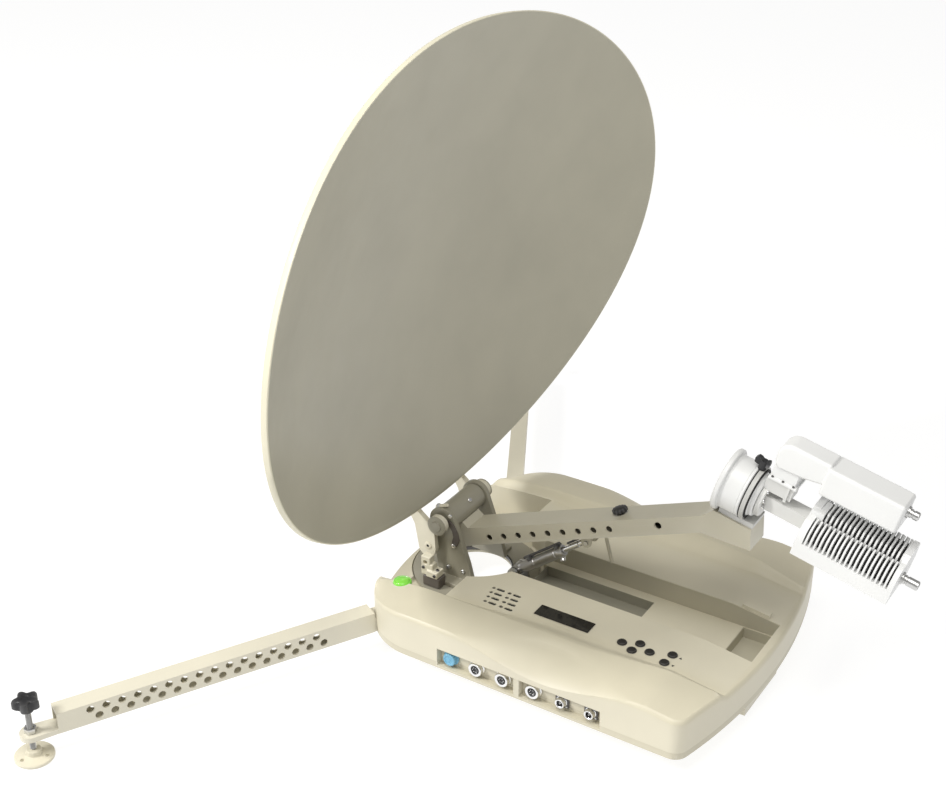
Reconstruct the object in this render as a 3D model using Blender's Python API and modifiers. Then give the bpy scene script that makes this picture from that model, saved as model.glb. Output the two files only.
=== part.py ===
"""Portable satellite terminal with an offset dish antenna.

Frame in metres: +Z up, ground at z = 0, x = 0 is the plane of symmetry.
The dish looks toward -Y. The connector panel is on the -X side.
The origin is the middle of the front foot's rest face.
"""
import math

import bmesh
import bpy
from mathutils import Matrix, Vector

# All driving dimensions are in millimetres.
MM = 0.001
FIT_GAP = 0.3

# Housing plan
HOUSE_HALF_WIDTH = 214.0
HOUSE_REAR_Y = 488.0
HOUSE_CORNER_RADIUS = 90.0
HOUSE_FRONT_BULGE = 31.0
HOUSE_REAR_BULGE = 28.0
TRAY_BOTTOM_Z = 32.5
TRAY_FLOOR_Z = 36.5
TRAY_TOP_Z = 42.0

# Housing top, read as heights over the ground
PANEL_Z = 91.0
PANEL_HALF_WIDTH = 126.0
RIDGE_X = 156.0
RIDGE_RISE = 12.0
EDGE_Z = 95.0
SCALLOP_DEPTH = 43.0
SCALLOP_Y = 195.0
SCALLOP_HALF_LENGTH = 150.0
FRONT_FALL = 0.14
RIDGE_TAPER = 0.13
REAR_FALL = 13.0
TROUGH_HALF_WIDTH = 46.0
TROUGH_FLOOR_Z = 61.0
TROUGH_FRONT_Y = -18.0
POCKET_FLOOR_Z = 45.0
BAY_HALF_WIDTH = 143.0
BAY_FRONT_Y = 380.0
RECESS_DEPTH = 11.0
RECESS_FRONT_Y = 107.0
RECESS_REAR_Y = 346.0
RECESS_TOP_Z = 63.0
LEVEL_XY = (-153.0, 441.0)
LATCH_OUTER_X = 57.0
LATCH_HEIGHT = 5.0

# Turntable
TURN_Y = 420.0
COVER_WELL_RADIUS = 97.0
TRAY_WELL_RADIUS = 92.0
HOLE_RADIUS = 52.0
RING_INNER = 53.0
RING_OUTER = 90.0
RING_TOP_Z = 43.0

# Elevation axis and yoke
TILT_Y = 447.0
TILT_Z = 133.0
TUBE_RADIUS = 18.0
TUBE_HALF = 37.0
YOKE_INNER_X = 38.0
YOKE_THICK = 8.0
STRUT_INNER_X = 51.5
STRUT_THICK = 8.0
SHAFT_RADIUS = 7.0

# Boom
BOOM_HALF_WIDTH = 21.0
BOOM_WALL = 2.5
BOOM_TOP_SLOPE = 0.395
BOOM_LOW_SLOPE = 0.406
BOOM_HOLES = 9
BOOM_HOLE_RADIUS = 4.6

# Dish: an offset paraboloid with an elliptical aperture
DISH_HALF_WIDTH = 458.5
DISH_HALF_HEIGHT = 324.5
DISH_FOCAL = 471.0
DISH_OFFSET = 244.0
DISH_BEAM_DEG = 10.6
DISH_FOCUS_Y = 27.3
DISH_FOCUS_Z = 315.1
DISH_THICK = 3.0
DISH_LIP = 10.0

# Feed axis
FEED_Y = 56.0
FEED_Z = 305.0
FEED_TILT_DEG = 13.5
SEAT_DEPTH = 38.5
BARREL_RADIUS = 36.0
BARREL_END = 36.4
NECK_RADIUS = 30.0
FLANGE_RADIUS = 41.0
CLAMP_START = 37.0
CLAMP_END = 42.4
FEED_HALF = 18.0
LNB_START = 114.0
LNB_END = 214.5
LNB_LOW = 60.0
LNB_TOP = 92.3
BUC_HALF = 39.0
BUC_LOW = -27.0
BUC_TOP = 29.0
BUC_START = 114.0
BUC_END = 240.0

# Legs and feet
LEG_ROOT_X = 166.0
LEG_ROOT_Y = 459.0
LEG_ANGLE_DEG = 28.6
LEG_START = 24.0
LEG_END = 455.0
LEG_SCREW = 486.0
LEG_WIDTH = 25.0
LEG_BOTTOM_Z = 32.0
LEG_TOP_Z = 62.0
LEG_WALL = 2.5
LEG_ROOT_HALF = 12.0
LEG_ROOT_TOP_Z = 54.0
LEG_HOLES = 16
LEG_HOLE_PITCH = 20.3
LEG_HOLE_MIDDLE = 251.0
LEG_HOLE_RADIUS = 5.2


def clear_scene():
    for obj in list(bpy.data.objects):
        bpy.data.objects.remove(obj, do_unlink=True)


def new_collection(name):
    group = bpy.data.collections.new(name)
    bpy.context.scene.collection.children.link(group)
    return group


def make_material(name, colour, roughness, metallic):
    material = bpy.data.materials.new(name)
    material.use_nodes = True
    shader = material.node_tree.nodes["Principled BSDF"]
    shader.inputs["Base Color"].default_value = (*colour, 1.0)
    shader.inputs["Roughness"].default_value = roughness
    shader.inputs["Metallic"].default_value = metallic
    material.diffuse_color = (*colour, 1.0)
    return material


clear_scene()
PARTS = new_collection("dish_terminal")
CUTTERS = new_collection("cutters")

IVORY = make_material("ivory_moulding", (0.74, 0.70, 0.54), 0.45, 0.0)
CREAM = make_material("cream_paint", (0.70, 0.66, 0.52), 0.4, 0.0)
OLIVE = make_material("olive_paint", (0.32, 0.31, 0.24), 0.4, 0.2)
DISH_GREY = make_material("dish_grey", (0.34, 0.32, 0.26), 0.35, 0.1)
WHITE = make_material("white_paint", (0.80, 0.80, 0.79), 0.4, 0.0)
SILVER = make_material("silver_metal", (0.60, 0.60, 0.60), 0.3, 1.0)
CHROME = make_material("chrome_metal", (0.75, 0.75, 0.75), 0.12, 1.0)
BLACK = make_material("black_plastic", (0.02, 0.02, 0.022), 0.45, 0.0)
GLASS_BLACK = make_material("display_black", (0.012, 0.012, 0.014), 0.15, 0.0)
GREEN = make_material("level_green", (0.30, 0.75, 0.08), 0.2, 0.0)
BLUE = make_material("blue_cap", (0.22, 0.50, 0.68), 0.4, 0.0)


def place_in(obj, group):
    for old in list(obj.users_collection):
        old.objects.unlink(obj)
    group.objects.link(obj)


def finish(obj, name, material):
    obj.name = name
    obj.data.name = name
    obj.data.materials.clear()
    obj.data.materials.append(material)
    place_in(obj, PARTS)
    return obj


def as_cutter(obj, name):
    obj.name = name
    obj.data.name = name
    obj.hide_render = True
    obj.display_type = "WIRE"
    place_in(obj, CUTTERS)
    return obj


def scaled(point):
    return Vector(point) * MM


def box(low, high):
    size = scaled(high) - scaled(low)
    centre = (scaled(high) + scaled(low)) / 2
    bpy.ops.mesh.primitive_cube_add(size=1.0, location=centre)
    obj = bpy.context.object
    obj.data.transform(Matrix.Diagonal((size.x, size.y, size.z, 1.0)))
    return obj


def rod(start, end, radius, segments=24, radius_end=None):
    first = scaled(start)
    last = scaled(end)
    axis = last - first
    mesh = bpy.data.meshes.new("rod")
    work = bmesh.new()
    bmesh.ops.create_cone(
        work,
        cap_ends=True,
        segments=segments,
        radius1=radius * MM,
        radius2=(radius if radius_end is None else radius_end) * MM,
        depth=axis.length,
    )
    work.to_mesh(mesh)
    work.free()
    obj = bpy.data.objects.new("rod", mesh)
    obj.location = (first + last) / 2
    obj.rotation_mode = "QUATERNION"
    obj.rotation_quaternion = Vector((0, 0, 1)).rotation_difference(axis)
    PARTS.objects.link(obj)
    smooth(obj)
    return obj


def smooth(obj, degrees=35.0):
    obj.data.shade_smooth()
    obj.data.set_sharp_from_angle(angle=math.radians(degrees))


def curve_to_mesh(obj):
    bpy.context.view_layer.update()
    evaluated = obj.evaluated_get(bpy.context.evaluated_depsgraph_get())
    mesh = bpy.data.meshes.new_from_object(evaluated)
    work = bmesh.new()
    work.from_mesh(mesh)
    bmesh.ops.remove_doubles(work, verts=work.verts, dist=0.00001)
    bmesh.ops.recalc_face_normals(work, faces=work.faces)
    work.to_mesh(mesh)
    work.free()
    solid = bpy.data.objects.new(obj.name, mesh)
    solid.matrix_world = obj.matrix_world
    PARTS.objects.link(solid)
    bpy.data.objects.remove(obj, do_unlink=True)
    return solid


def extruded(outline, low, high, basis):
    """Flat outline in millimetres, extruded from low to high along the third axis of basis."""
    curve = bpy.data.curves.new("outline", "CURVE")
    curve.dimensions = "2D"
    curve.fill_mode = "BOTH"
    curve.extrude = (high - low) / 2 * MM
    spline = curve.splines.new("POLY")
    spline.points.add(len(outline) - 1)
    for point, (u, v) in zip(spline.points, outline):
        point.co = (u * MM, v * MM, 0.0, 1.0)
    spline.use_cyclic_u = True
    obj = bpy.data.objects.new("outline", curve)
    PARTS.objects.link(obj)
    shift = Matrix.Translation((0.0, 0.0, (high + low) / 2 * MM))
    obj.matrix_world = basis @ shift
    return curve_to_mesh(obj)


FLAT = Matrix.Identity(4)
# Outline u runs along +Y, v along +Z and the extrusion along +X.
SIDEWAYS = Matrix(((0, 0, 1, 0), (1, 0, 0, 0), (0, 1, 0, 0), (0, 0, 0, 1)))
# Inside the feed frame: the outline lies along the axis and up, the extrusion runs across.
ACROSS = Matrix(((0, 0, 1, 0), (0, 1, 0, 0), (1, 0, 0, 0), (0, 0, 0, 1)))


def loft(sections):
    mesh = bpy.data.meshes.new("loft")
    work = bmesh.new()
    rings = [[work.verts.new(scaled(point)) for point in section] for section in sections]
    count = len(rings[0])
    for first, second in zip(rings, rings[1:]):
        for i in range(count):
            j = (i + 1) % count
            work.faces.new((first[i], first[j], second[j], second[i]))
    work.faces.new(rings[0])
    work.faces.new(list(reversed(rings[-1])))
    bmesh.ops.recalc_face_normals(work, faces=work.faces)
    work.to_mesh(mesh)
    work.free()
    obj = bpy.data.objects.new("loft", mesh)
    PARTS.objects.link(obj)
    return obj


def combine(obj, tool, operation, name):
    as_cutter(tool, name)
    modifier = obj.modifiers.new(name, "BOOLEAN")
    modifier.operation = operation
    modifier.solver = "EXACT"
    modifier.object = tool


def cut(obj, tool, name):
    combine(obj, tool, "DIFFERENCE", name)


def add(obj, tool, name):
    combine(obj, tool, "UNION", name)


def arc(centre, radius, start_deg, end_deg, steps):
    points = []
    for i in range(steps + 1):
        angle = math.radians(start_deg + (end_deg - start_deg) * i / steps)
        points.append((centre[0] + radius * math.cos(angle), centre[1] + radius * math.sin(angle)))
    return points


def axis_empty(name, point, parent=None):
    empty = bpy.data.objects.new(name, None)
    empty.empty_display_size = 0.03
    place = scaled(point)
    empty.location = place if parent is None else place - parent.matrix_world.translation
    empty.parent = parent
    PARTS.objects.link(empty)
    bpy.context.view_layer.update()
    return empty


def ride(empty, *objects):
    for obj in objects:
        obj.parent = empty
        obj.matrix_parent_inverse = empty.matrix_world.inverted()


# Housing

def house_outline(inset=0.0):
    """Bowed front edge, round rear corners and a bowed rear edge that runs on smoothly from them."""
    half = HOUSE_HALF_WIDTH - inset
    sag = HOUSE_FRONT_BULGE
    front_radius = (HOUSE_HALF_WIDTH ** 2 + sag ** 2) / (2 * sag)
    reach = math.degrees(math.asin(half / (front_radius - inset)))
    points = arc((0.0, front_radius - sag), front_radius - inset, -90.0 - reach, -90.0 + reach, 24)
    corner_x = HOUSE_HALF_WIDTH - HOUSE_CORNER_RADIUS
    corner_y = HOUSE_REAR_Y - HOUSE_CORNER_RADIUS
    turn = 90.0 - 2 * math.degrees(math.atan(HOUSE_REAR_BULGE / corner_x))
    beyond = corner_x / math.cos(math.radians(turn))
    rear_centre = (0.0, corner_y - beyond * math.sin(math.radians(turn)))
    radius = HOUSE_CORNER_RADIUS - inset
    points += arc((corner_x, corner_y), radius, 0.0, turn, 7)
    points += arc(rear_centre, radius + beyond, turn, 180.0 - turn, 12)[1:-1]
    points += arc((-corner_x, corner_y), radius, 180.0 - turn, 180.0, 7)
    return points


def scallop(y):
    reach = abs(y - SCALLOP_Y) / SCALLOP_HALF_LENGTH
    return math.cos(reach * math.pi / 2) ** 2 if reach < 1.0 else 0.0


def ramp(value, start, end):
    """0 before start, 1 after end and even between them."""
    return min(1.0, max(0.0, (value - start) / (end - start)))


def panel_height(y):
    return PANEL_Z - FRONT_FALL * max(0.0, 50.0 - y)


def width_at(y):
    """Half of the housing's width, which shrinks round the rear corners."""
    into_corner = min(77.0, max(0.0, y - (HOUSE_REAR_Y - HOUSE_CORNER_RADIUS)))
    return HOUSE_HALF_WIDTH - HOUSE_CORNER_RADIUS + math.sqrt(HOUSE_CORNER_RADIUS ** 2 - into_corner ** 2)


def half_section(y):
    """Half of the cover's cross-section: flat panel, slope up to the ridge, shoulder and side wall."""
    panel_z = panel_height(y)
    front_drop = PANEL_Z - panel_z
    foot_x = PANEL_HALF_WIDTH + (BAY_HALF_WIDTH - PANEL_HALF_WIDTH) * ramp(y, 230.0, 366.0)
    ridge_x = RIDGE_X - RIDGE_TAPER * max(0.0, 150.0 - y)
    rise = RIDGE_RISE * (1.0 - 0.5 * ramp(-y, -60.0, 20.0))
    rear_drop = REAR_FALL * ramp(y, 380.0, 480.0) ** 2
    ridge_z = panel_z + rise - rear_drop
    points = [(0.0, panel_z), (TROUGH_HALF_WIDTH, panel_z), (foot_x, panel_z - 0.5 * rear_drop)]
    for across, up in ((0.35, 0.24), (0.7, 0.8), (1.0, 1.0)):
        z = (1.0 - up) * points[2][1] + up * ridge_z
        points.append((foot_x + (ridge_x - foot_x) * across, z))
    bite = scallop(y)
    width = width_at(y)
    edge_x = width - 2.0 - (SCALLOP_DEPTH - 2.0) * bite
    edge_z = EDGE_Z - 0.85 * front_drop - rear_drop + 2.0 * bite
    low_z = edge_z - 2.5 - 28.0 * bite
    points.append(((ridge_x + edge_x) / 2, (ridge_z + edge_z) / 2 + 1.5))
    corner = (width - 0.3 * SCALLOP_DEPTH * bite, edge_z - 0.5)
    low = (width + 4.0, low_z)
    for i in range(5):
        t = i / 4
        x = (1 - t) ** 2 * edge_x + 2 * t * (1 - t) * corner[0] + t * t * low[0]
        z = (1 - t) ** 2 * edge_z + 2 * t * (1 - t) * corner[1] + t * t * low[1]
        points.append((x, z))
    points.append((HOUSE_HALF_WIDTH + 4.0, TRAY_TOP_Z + FIT_GAP))
    return points


def cover_section(y):
    half = half_section(y)
    right = [(x, y, z) for x, z in half]
    left = [(-x, y, z) for x, z in reversed(half[1:])]
    return right + left


def leg_direction(side):
    angle = math.radians(LEG_ANGLE_DEG)
    return Vector((side * math.cos(angle), math.sin(angle)))


def leg_point(side, along, across, z):
    direction = leg_direction(side)
    normal = Vector((-direction.y, direction.x))
    place = Vector((side * LEG_ROOT_X, LEG_ROOT_Y)) + direction * along + normal * across
    return (place.x, place.y, z)


def leg_basis(side):
    direction = leg_direction(side)
    normal = Vector((-direction.y, direction.x))
    basis = Matrix.Identity(4)
    basis.col[0] = (direction.x, direction.y, 0.0, 0.0)
    basis.col[1] = (normal.x, normal.y, 0.0, 0.0)
    basis.col[3] = (side * LEG_ROOT_X * MM, LEG_ROOT_Y * MM, 0.0, 1.0)
    return basis


def leg_box(side, low, high):
    obj = box(low, high)
    obj.matrix_world = leg_basis(side) @ Matrix.Translation(obj.location)
    return obj


def leg_socket(side):
    half = LEG_ROOT_HALF + FIT_GAP
    return leg_box(side, (0.0, -half, LEG_BOTTOM_Z - 5.0), (60.0, half, LEG_ROOT_TOP_Z + FIT_GAP))


def make_tray():
    tray = extruded(house_outline(), TRAY_BOTTOM_Z, TRAY_TOP_Z, FLAT)
    finish(tray, "base_tray", IVORY)
    centre = (0.0, TURN_Y)
    cut(tray, rod((*centre, TRAY_FLOOR_Z), (*centre, 60.0), TRAY_WELL_RADIUS, 48), "tray_well")
    low = (-BAY_HALF_WIDTH, BAY_FRONT_Y, TRAY_FLOOR_Z)
    cut(tray, box(low, (BAY_HALF_WIDTH, HOUSE_REAR_Y - 6.0, 60.0)), "tray_bay")
    cut(tray, rod((*centre, 20.0), (*centre, 60.0), HOLE_RADIUS, 48), "tray_hole")
    low = (-HOUSE_HALF_WIDTH - 10.0, RECESS_FRONT_Y, TRAY_FLOOR_Z)
    high = (-HOUSE_HALF_WIDTH + RECESS_DEPTH, RECESS_REAR_Y, 60.0)
    cut(tray, box(low, high), "tray_recess")
    low = (-HOUSE_HALF_WIDTH + 0.5, 223.0, TRAY_FLOOR_Z - 1.0)
    high = (-HOUSE_HALF_WIDTH + RECESS_DEPTH - FIT_GAP, 231.0, RECESS_TOP_Z - FIT_GAP)
    add(tray, box(low, high), "recess_divider")
    for side, label in ((-1, "near"), (1, "far")):
        cut(tray, leg_socket(side), "tray_socket_" + label)
    return tray


def make_cover():
    stations = [-45.0, -20.0, 5.0, 30.0, 50.0]
    stations += [70.0 + 20.0 * i for i in range(14)]
    stations += [355.0, 380.0, 405.0, 430.0, 455.0, 480.0, 530.0]
    cover = loft([cover_section(y) for y in stations])
    finish(cover, "top_cover", IVORY)
    smooth(cover, 22.0)
    outline = extruded(house_outline(), TRAY_TOP_Z - 5.0, 130.0, FLAT)
    combine(cover, outline, "INTERSECT", "cover_outline")
    centre = (0.0, TURN_Y)
    cut(cover, rod((*centre, 30.0), (*centre, 130.0), COVER_WELL_RADIUS, 48), "cover_well")
    low = (-BAY_HALF_WIDTH, BAY_FRONT_Y, 30.0)
    cut(cover, box(low, (BAY_HALF_WIDTH, HOUSE_REAR_Y + HOUSE_REAR_BULGE + 10.0, 130.0)), "cover_bay")
    low = (-TROUGH_HALF_WIDTH, TROUGH_FRONT_Y, TROUGH_FLOOR_Z)
    cut(cover, box(low, (TROUGH_HALF_WIDTH, TURN_Y, 130.0)), "cover_trough")
    cut(cover, box((-31.0, 155.0, POCKET_FLOOR_Z), (31.0, TURN_Y, 70.0)), "cover_pocket")
    low = (-TROUGH_HALF_WIDTH + 2.0, TROUGH_FRONT_Y + 2.0, POCKET_FLOOR_Z)
    cut(cover, box(low, (TROUGH_HALF_WIDTH - 2.0, 31.0, 70.0)), "cover_front_recess")
    low = (-HOUSE_HALF_WIDTH - 10.0, RECESS_FRONT_Y, 30.0)
    high = (-HOUSE_HALF_WIDTH + RECESS_DEPTH, RECESS_REAR_Y, RECESS_TOP_Z)
    cut(cover, box(low, high), "cover_recess")
    for side, label in ((-1, "near"), (1, "far")):
        cut(cover, leg_socket(side), "cover_socket_" + label)
    seat = rod((*LEVEL_XY, level_seat_height()), (*LEVEL_XY, 130.0), 12.8, 32)
    cut(cover, seat, "cover_level_seat")
    return cover


def on_panel(obj, x, y, name, material):
    """Set a piece that is modelled around the origin on the flat near panel."""
    obj.location = scaled((x, y, panel_height(y) + FIT_GAP))
    return finish(obj, name, material)


def make_controls():
    display = box((-11.0, -40.0, 0.0), (11.0, 40.0, 1.6))
    display.data.transform(Matrix.Translation(display.location))
    on_panel(display, -104.0, 219.5, "display_window", GLASS_BLACK)
    places = ((-109.0, 133.0), (-99.6, 112.0), (-117.4, 115.0), (-109.0, 94.0), (-98.7, 67.0), (-118.3, 69.0))
    for index, (x, y) in enumerate(places):
        button = rod((0.0, 0.0, 0.0), (0.0, 0.0, 2.6), 5.8, 20)
        button.data.transform(Matrix.Translation((0.0, 0.0, 1.3 * MM)))
        on_panel(button, x, y, "button_%d" % (index + 1), BLACK)


def make_level():
    x, y = LEVEL_XY
    z = level_seat_height() + FIT_GAP
    level = rod((x, y, z), (x, y, z + 6.5), 12.5, 32, 11.5)
    return finish(level, "level_button", GREEN)


def level_seat_height():
    return top_height(*LEVEL_XY) - 2.5


def top_height(x, y):
    points = half_section(y)
    for (x0, z0), (x1, z1) in zip(points, points[1:]):
        if x0 <= abs(x) <= x1:
            return z0 + (z1 - z0) * (abs(x) - x0) / (x1 - x0)
    return points[0][1]


def make_connectors():
    wall_x = -HOUSE_HALF_WIDTH + RECESS_DEPTH - FIT_GAP
    places = (329.0, 289.5, 250.0, 205.0, 164.5, 123.5)
    for index, y in enumerate(places):
        name = "connector_%d" % (index + 1)
        z = 50.0
        if index < 4:
            body = rod((wall_x, y, z), (wall_x - 9.0, y, z), 9.0, 24)
            add(body, rod((wall_x, y, z), (wall_x - 3.0, y, z), 11.0, 24), name + "_collar")
            if index > 0:
                cut(body, rod((wall_x - 5.0, y, z), (wall_x - 12.0, y, z), 6.2, 20), name + "_bore")
            finish(body, name, BLUE if index == 0 else CHROME)
        else:
            body = box((wall_x - 2.5, y - 9.5, z - 9.5), (wall_x, y + 9.5, z + 9.5))
            add(body, rod((wall_x - 1.0, y, z), (wall_x - 10.0, y, z), 6.0, 20), name + "_barrel")
            cut(body, rod((wall_x - 6.0, y, z), (wall_x - 12.0, y, z), 4.2, 16), name + "_bore")
            finish(body, name, CHROME)


def make_latch():
    """Small catch on the far lip of the trough, lying on the sloping front of the cover."""
    ends = (36.0, -2.0)
    base = [(y, top_height(LATCH_OUTER_X, y) + FIT_GAP) for y in ends]
    outline = base + [(y, z + LATCH_HEIGHT) for y, z in reversed(base)]
    latch = extruded(outline, TROUGH_HALF_WIDTH + 1.0, LATCH_OUTER_X, SIDEWAYS)
    return finish(latch, "trough_latch", CREAM)


def make_front_foot():
    foot = box((-52.0, -18.0, 0.0), (52.0, 18.0, TRAY_BOTTOM_Z - FIT_GAP))
    return finish(foot, "front_foot", CREAM)


# Legs and levelling feet

def make_leg(side, label):
    half = LEG_WIDTH / 2
    leg = leg_box(side, (LEG_START, -half, LEG_BOTTOM_Z), (LEG_END, half, LEG_TOP_Z))
    finish(leg, "leg_" + label, CREAM)
    inner = half - LEG_WALL
    low = (LEG_START - 5.0, -inner, LEG_BOTTOM_Z + LEG_WALL)
    cut(leg, leg_box(side, low, (LEG_END + 5.0, inner, LEG_TOP_Z - LEG_WALL)), "leg_hollow_" + label)
    low = (FIT_GAP, -LEG_ROOT_HALF, LEG_BOTTOM_Z + 0.2)
    tongue = leg_box(side, low, (LEG_START + 4.0, LEG_ROOT_HALF, LEG_ROOT_TOP_Z))
    add(leg, tongue, "leg_root_" + label)
    outline = [(LEG_END - 4.0, -12.0), (LEG_SCREW, -14.0)]
    outline += arc((LEG_SCREW, 0.0), 14.0, -80.0, 80.0, 10)
    outline += [(LEG_SCREW, 14.0), (LEG_END - 4.0, 12.0)]
    tip = extruded(outline, LEG_BOTTOM_Z, LEG_BOTTOM_Z + 7.0, leg_basis(side))
    add(leg, tip, "leg_tip_" + label)
    low = leg_point(side, LEG_SCREW, 0.0, LEG_BOTTOM_Z - 5.0)
    high = leg_point(side, LEG_SCREW, 0.0, LEG_BOTTOM_Z + 15.0)
    cut(leg, rod(low, high, 4.4, 20), "leg_screw_hole_" + label)
    cut(leg, hole_rows(side), "leg_holes_" + label)
    return leg


def hole_rows(side):
    """All lightening holes of a leg as one cutter of separate bars."""
    half = LEG_WIDTH / 2 + 5.0
    mesh = bpy.data.meshes.new("hole_rows")
    work = bmesh.new()
    span = LEG_HOLE_PITCH * (LEG_HOLES - 1)
    turn = Matrix.Rotation(math.radians(90.0), 4, "X")
    for row, z in ((0, 53.4), (1, 41.2)):
        for i in range(LEG_HOLES):
            along = LEG_HOLE_MIDDLE - span / 2 + LEG_HOLE_PITCH * i + (0.0 if row else LEG_HOLE_PITCH / 2)
            place = Matrix.Translation(scaled((along, 0.0, z)))
            bmesh.ops.create_cone(
                work,
                cap_ends=True,
                segments=8,
                radius1=LEG_HOLE_RADIUS * MM,
                radius2=LEG_HOLE_RADIUS * MM,
                depth=2 * half * MM,
                matrix=place @ turn,
            )
    work.to_mesh(mesh)
    work.free()
    obj = bpy.data.objects.new("hole_rows", mesh)
    PARTS.objects.link(obj)
    obj.matrix_world = leg_basis(side)
    return obj


def make_foot(side, label):
    x, y, _ = leg_point(side, LEG_SCREW, 0.0, 0.0)
    empty = axis_empty("foot_axis_" + label, (x, y, 0.0))
    disc = rod((x, y, 0.0), (x, y, 5.0), 25.0, 40, 23.0)
    add(disc, rod((x, y, 3.0), (x, y, 13.0), 10.0, 24, 8.0), "foot_hub_" + label)
    finish(disc, "foot_disc_" + label, CREAM)
    screw = rod((x, y, 13.3), (x, y, 76.0), 4.0, 20)
    finish(screw, "foot_screw_" + label, SILVER)
    star = []
    for i in range(40):
        angle = 2 * math.pi * i / 40
        radius = 14.5 + 3.0 * math.cos(5 * angle)
        star.append((radius * math.cos(angle), radius * math.sin(angle)))
    knob = extruded(star, 78.0, 91.0, Matrix.Translation(scaled((x, y, 0.0))))
    add(knob, rod((x, y, 72.0), (x, y, 80.0), 8.0, 24), "knob_hub_" + label)
    cut(knob, rod((x, y, 60.0), (x, y, 76.3), 4.3, 20), "knob_bore_" + label)
    finish(knob, "star_knob_" + label, BLACK)
    nut = rod((x, y, LEG_BOTTOM_Z + 7.3), (x, y, LEG_BOTTOM_Z + 14.0), 8.0, 6)
    cut(nut, rod((x, y, 30.0), (x, y, 60.0), 4.4, 20), "nut_bore_" + label)
    finish(nut, "leg_nut_" + label, SILVER)
    ride(empty, disc, screw, knob)


# Turntable and yoke

def make_turntable(axis):
    centre = (0.0, TURN_Y)
    ring = rod((*centre, TRAY_FLOOR_Z + FIT_GAP), (*centre, RING_TOP_Z), RING_OUTER, 48)
    cut(ring, rod((*centre, 30.0), (*centre, 60.0), RING_INNER, 48), "ring_bore")
    finish(ring, "turntable_ring", OLIVE)
    ride(axis, ring)
    for side, label in ((-1, "near"), (1, "far")):
        top = arc((TILT_Y, TILT_Z), 21.0, -15.0, 165.0, 12)
        outline = top + [(404.0, 75.0), (396.0, RING_TOP_Z + FIT_GAP), (452.0, RING_TOP_Z + FIT_GAP)]
        inner = YOKE_INNER_X
        low, high = sorted((side * inner, side * (inner + YOKE_THICK)))
        plate = extruded(outline, low, high, SIDEWAYS)
        finish(plate, "yoke_" + label, OLIVE)
        foot_low = (min(side * 44.0, side * 64.0), 400.0, RING_TOP_Z + FIT_GAP)
        foot_high = (max(side * 44.0, side * 64.0), 448.0, RING_TOP_Z + 6.0)
        add(plate, box(foot_low, foot_high), "yoke_foot_" + label)
        hole_ends = ((side * 30.0, TILT_Y, TILT_Z), (side * 60.0, TILT_Y, TILT_Z))
        cut(plate, rod(*hole_ends, SHAFT_RADIUS + 0.3, 24), "yoke_bore_" + label)
        ride(axis, plate)


# Actuator pins, as (y, z)
ACTUATOR_LOW = (352.0, 62.0)
ACTUATOR_HIGH = (241.0, 150.0)
PIN_RADIUS = 3.0
BRACKET_HALF = 15.0
LUG_INNER = 8.0
LUG_THICK = 3.0
ROD_END_GAP = 9.0


def make_actuator(turn_axis):
    low = Vector((0.0, *ACTUATOR_LOW))
    high = Vector((0.0, *ACTUATOR_HIGH))
    along = (high - low).normalized()
    outline = arc(ACTUATOR_LOW, 8.0, 0.0, 180.0, 10)
    outline += [(340.0, RING_TOP_Z + FIT_GAP), (362.0, RING_TOP_Z + FIT_GAP)]
    bracket = extruded(outline, -BRACKET_HALF, BRACKET_HALF, SIDEWAYS)
    finish(bracket, "actuator_bracket", SILVER)
    gap = BRACKET_HALF - 4.0
    cut(bracket, box((-gap, 330.0, RING_TOP_Z + 3.0), (gap, 370.0, 80.0)), "bracket_gap")
    cut(bracket, rod((-20.0, *ACTUATOR_LOW), (20.0, *ACTUATOR_LOW), PIN_RADIUS + FIT_GAP, 16), "bracket_bore")
    pin = rod((-17.0, *ACTUATOR_LOW), (17.0, *ACTUATOR_LOW), PIN_RADIUS, 16)
    finish(pin, "actuator_pin", SILVER)
    ride(turn_axis, bracket, pin)
    swing = axis_empty("actuator_axis", (0.0, *ACTUATOR_LOW), turn_axis)
    body = rod(low + along * 6.0, low + along * 92.0, 8.5, 24)
    add(body, rod((-9.0, *ACTUATOR_LOW), (9.0, *ACTUATOR_LOW), 8.0, 20), "actuator_eye")
    cut(body, rod((-12.0, *ACTUATOR_LOW), (12.0, *ACTUATOR_LOW), PIN_RADIUS + FIT_GAP, 16), "actuator_eye_bore")
    cut(body, rod(low + along * 14.0, low + along * 100.0, 5.0, 20), "actuator_bore")
    finish(body, "actuator_body", SILVER)
    slide = axis_empty("actuator_slide", (0.0, *ACTUATOR_LOW), swing)
    rod_piece = rod(low + along * 30.0, high - along * ROD_END_GAP, 4.5, 20)
    finish(rod_piece, "actuator_rod", BLACK)
    ride(swing, body)
    ride(slide, rod_piece)


# Elevation body

def boom_top(y):
    return 106.9 + (TILT_Y - y) * BOOM_TOP_SLOPE


def boom_bottom(y):
    return 78.0 + (TILT_Y - y) * BOOM_LOW_SLOPE


def above_boom(y, height):
    """Point at a height square to the boom's top face, over the place y."""
    lean = math.atan(BOOM_TOP_SLOPE)
    return (0.0, y + height * math.sin(lean), boom_top(y) + height * math.cos(lean))


def boom_outline(rear_y, inset, rise, tip):
    knee_y = 76.0
    top = rise + [(knee_y, boom_top(knee_y) - inset)]
    bottom = [(knee_y, boom_bottom(knee_y) + inset), (rear_y, boom_bottom(rear_y) + inset)]
    return top + tip + bottom


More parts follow.
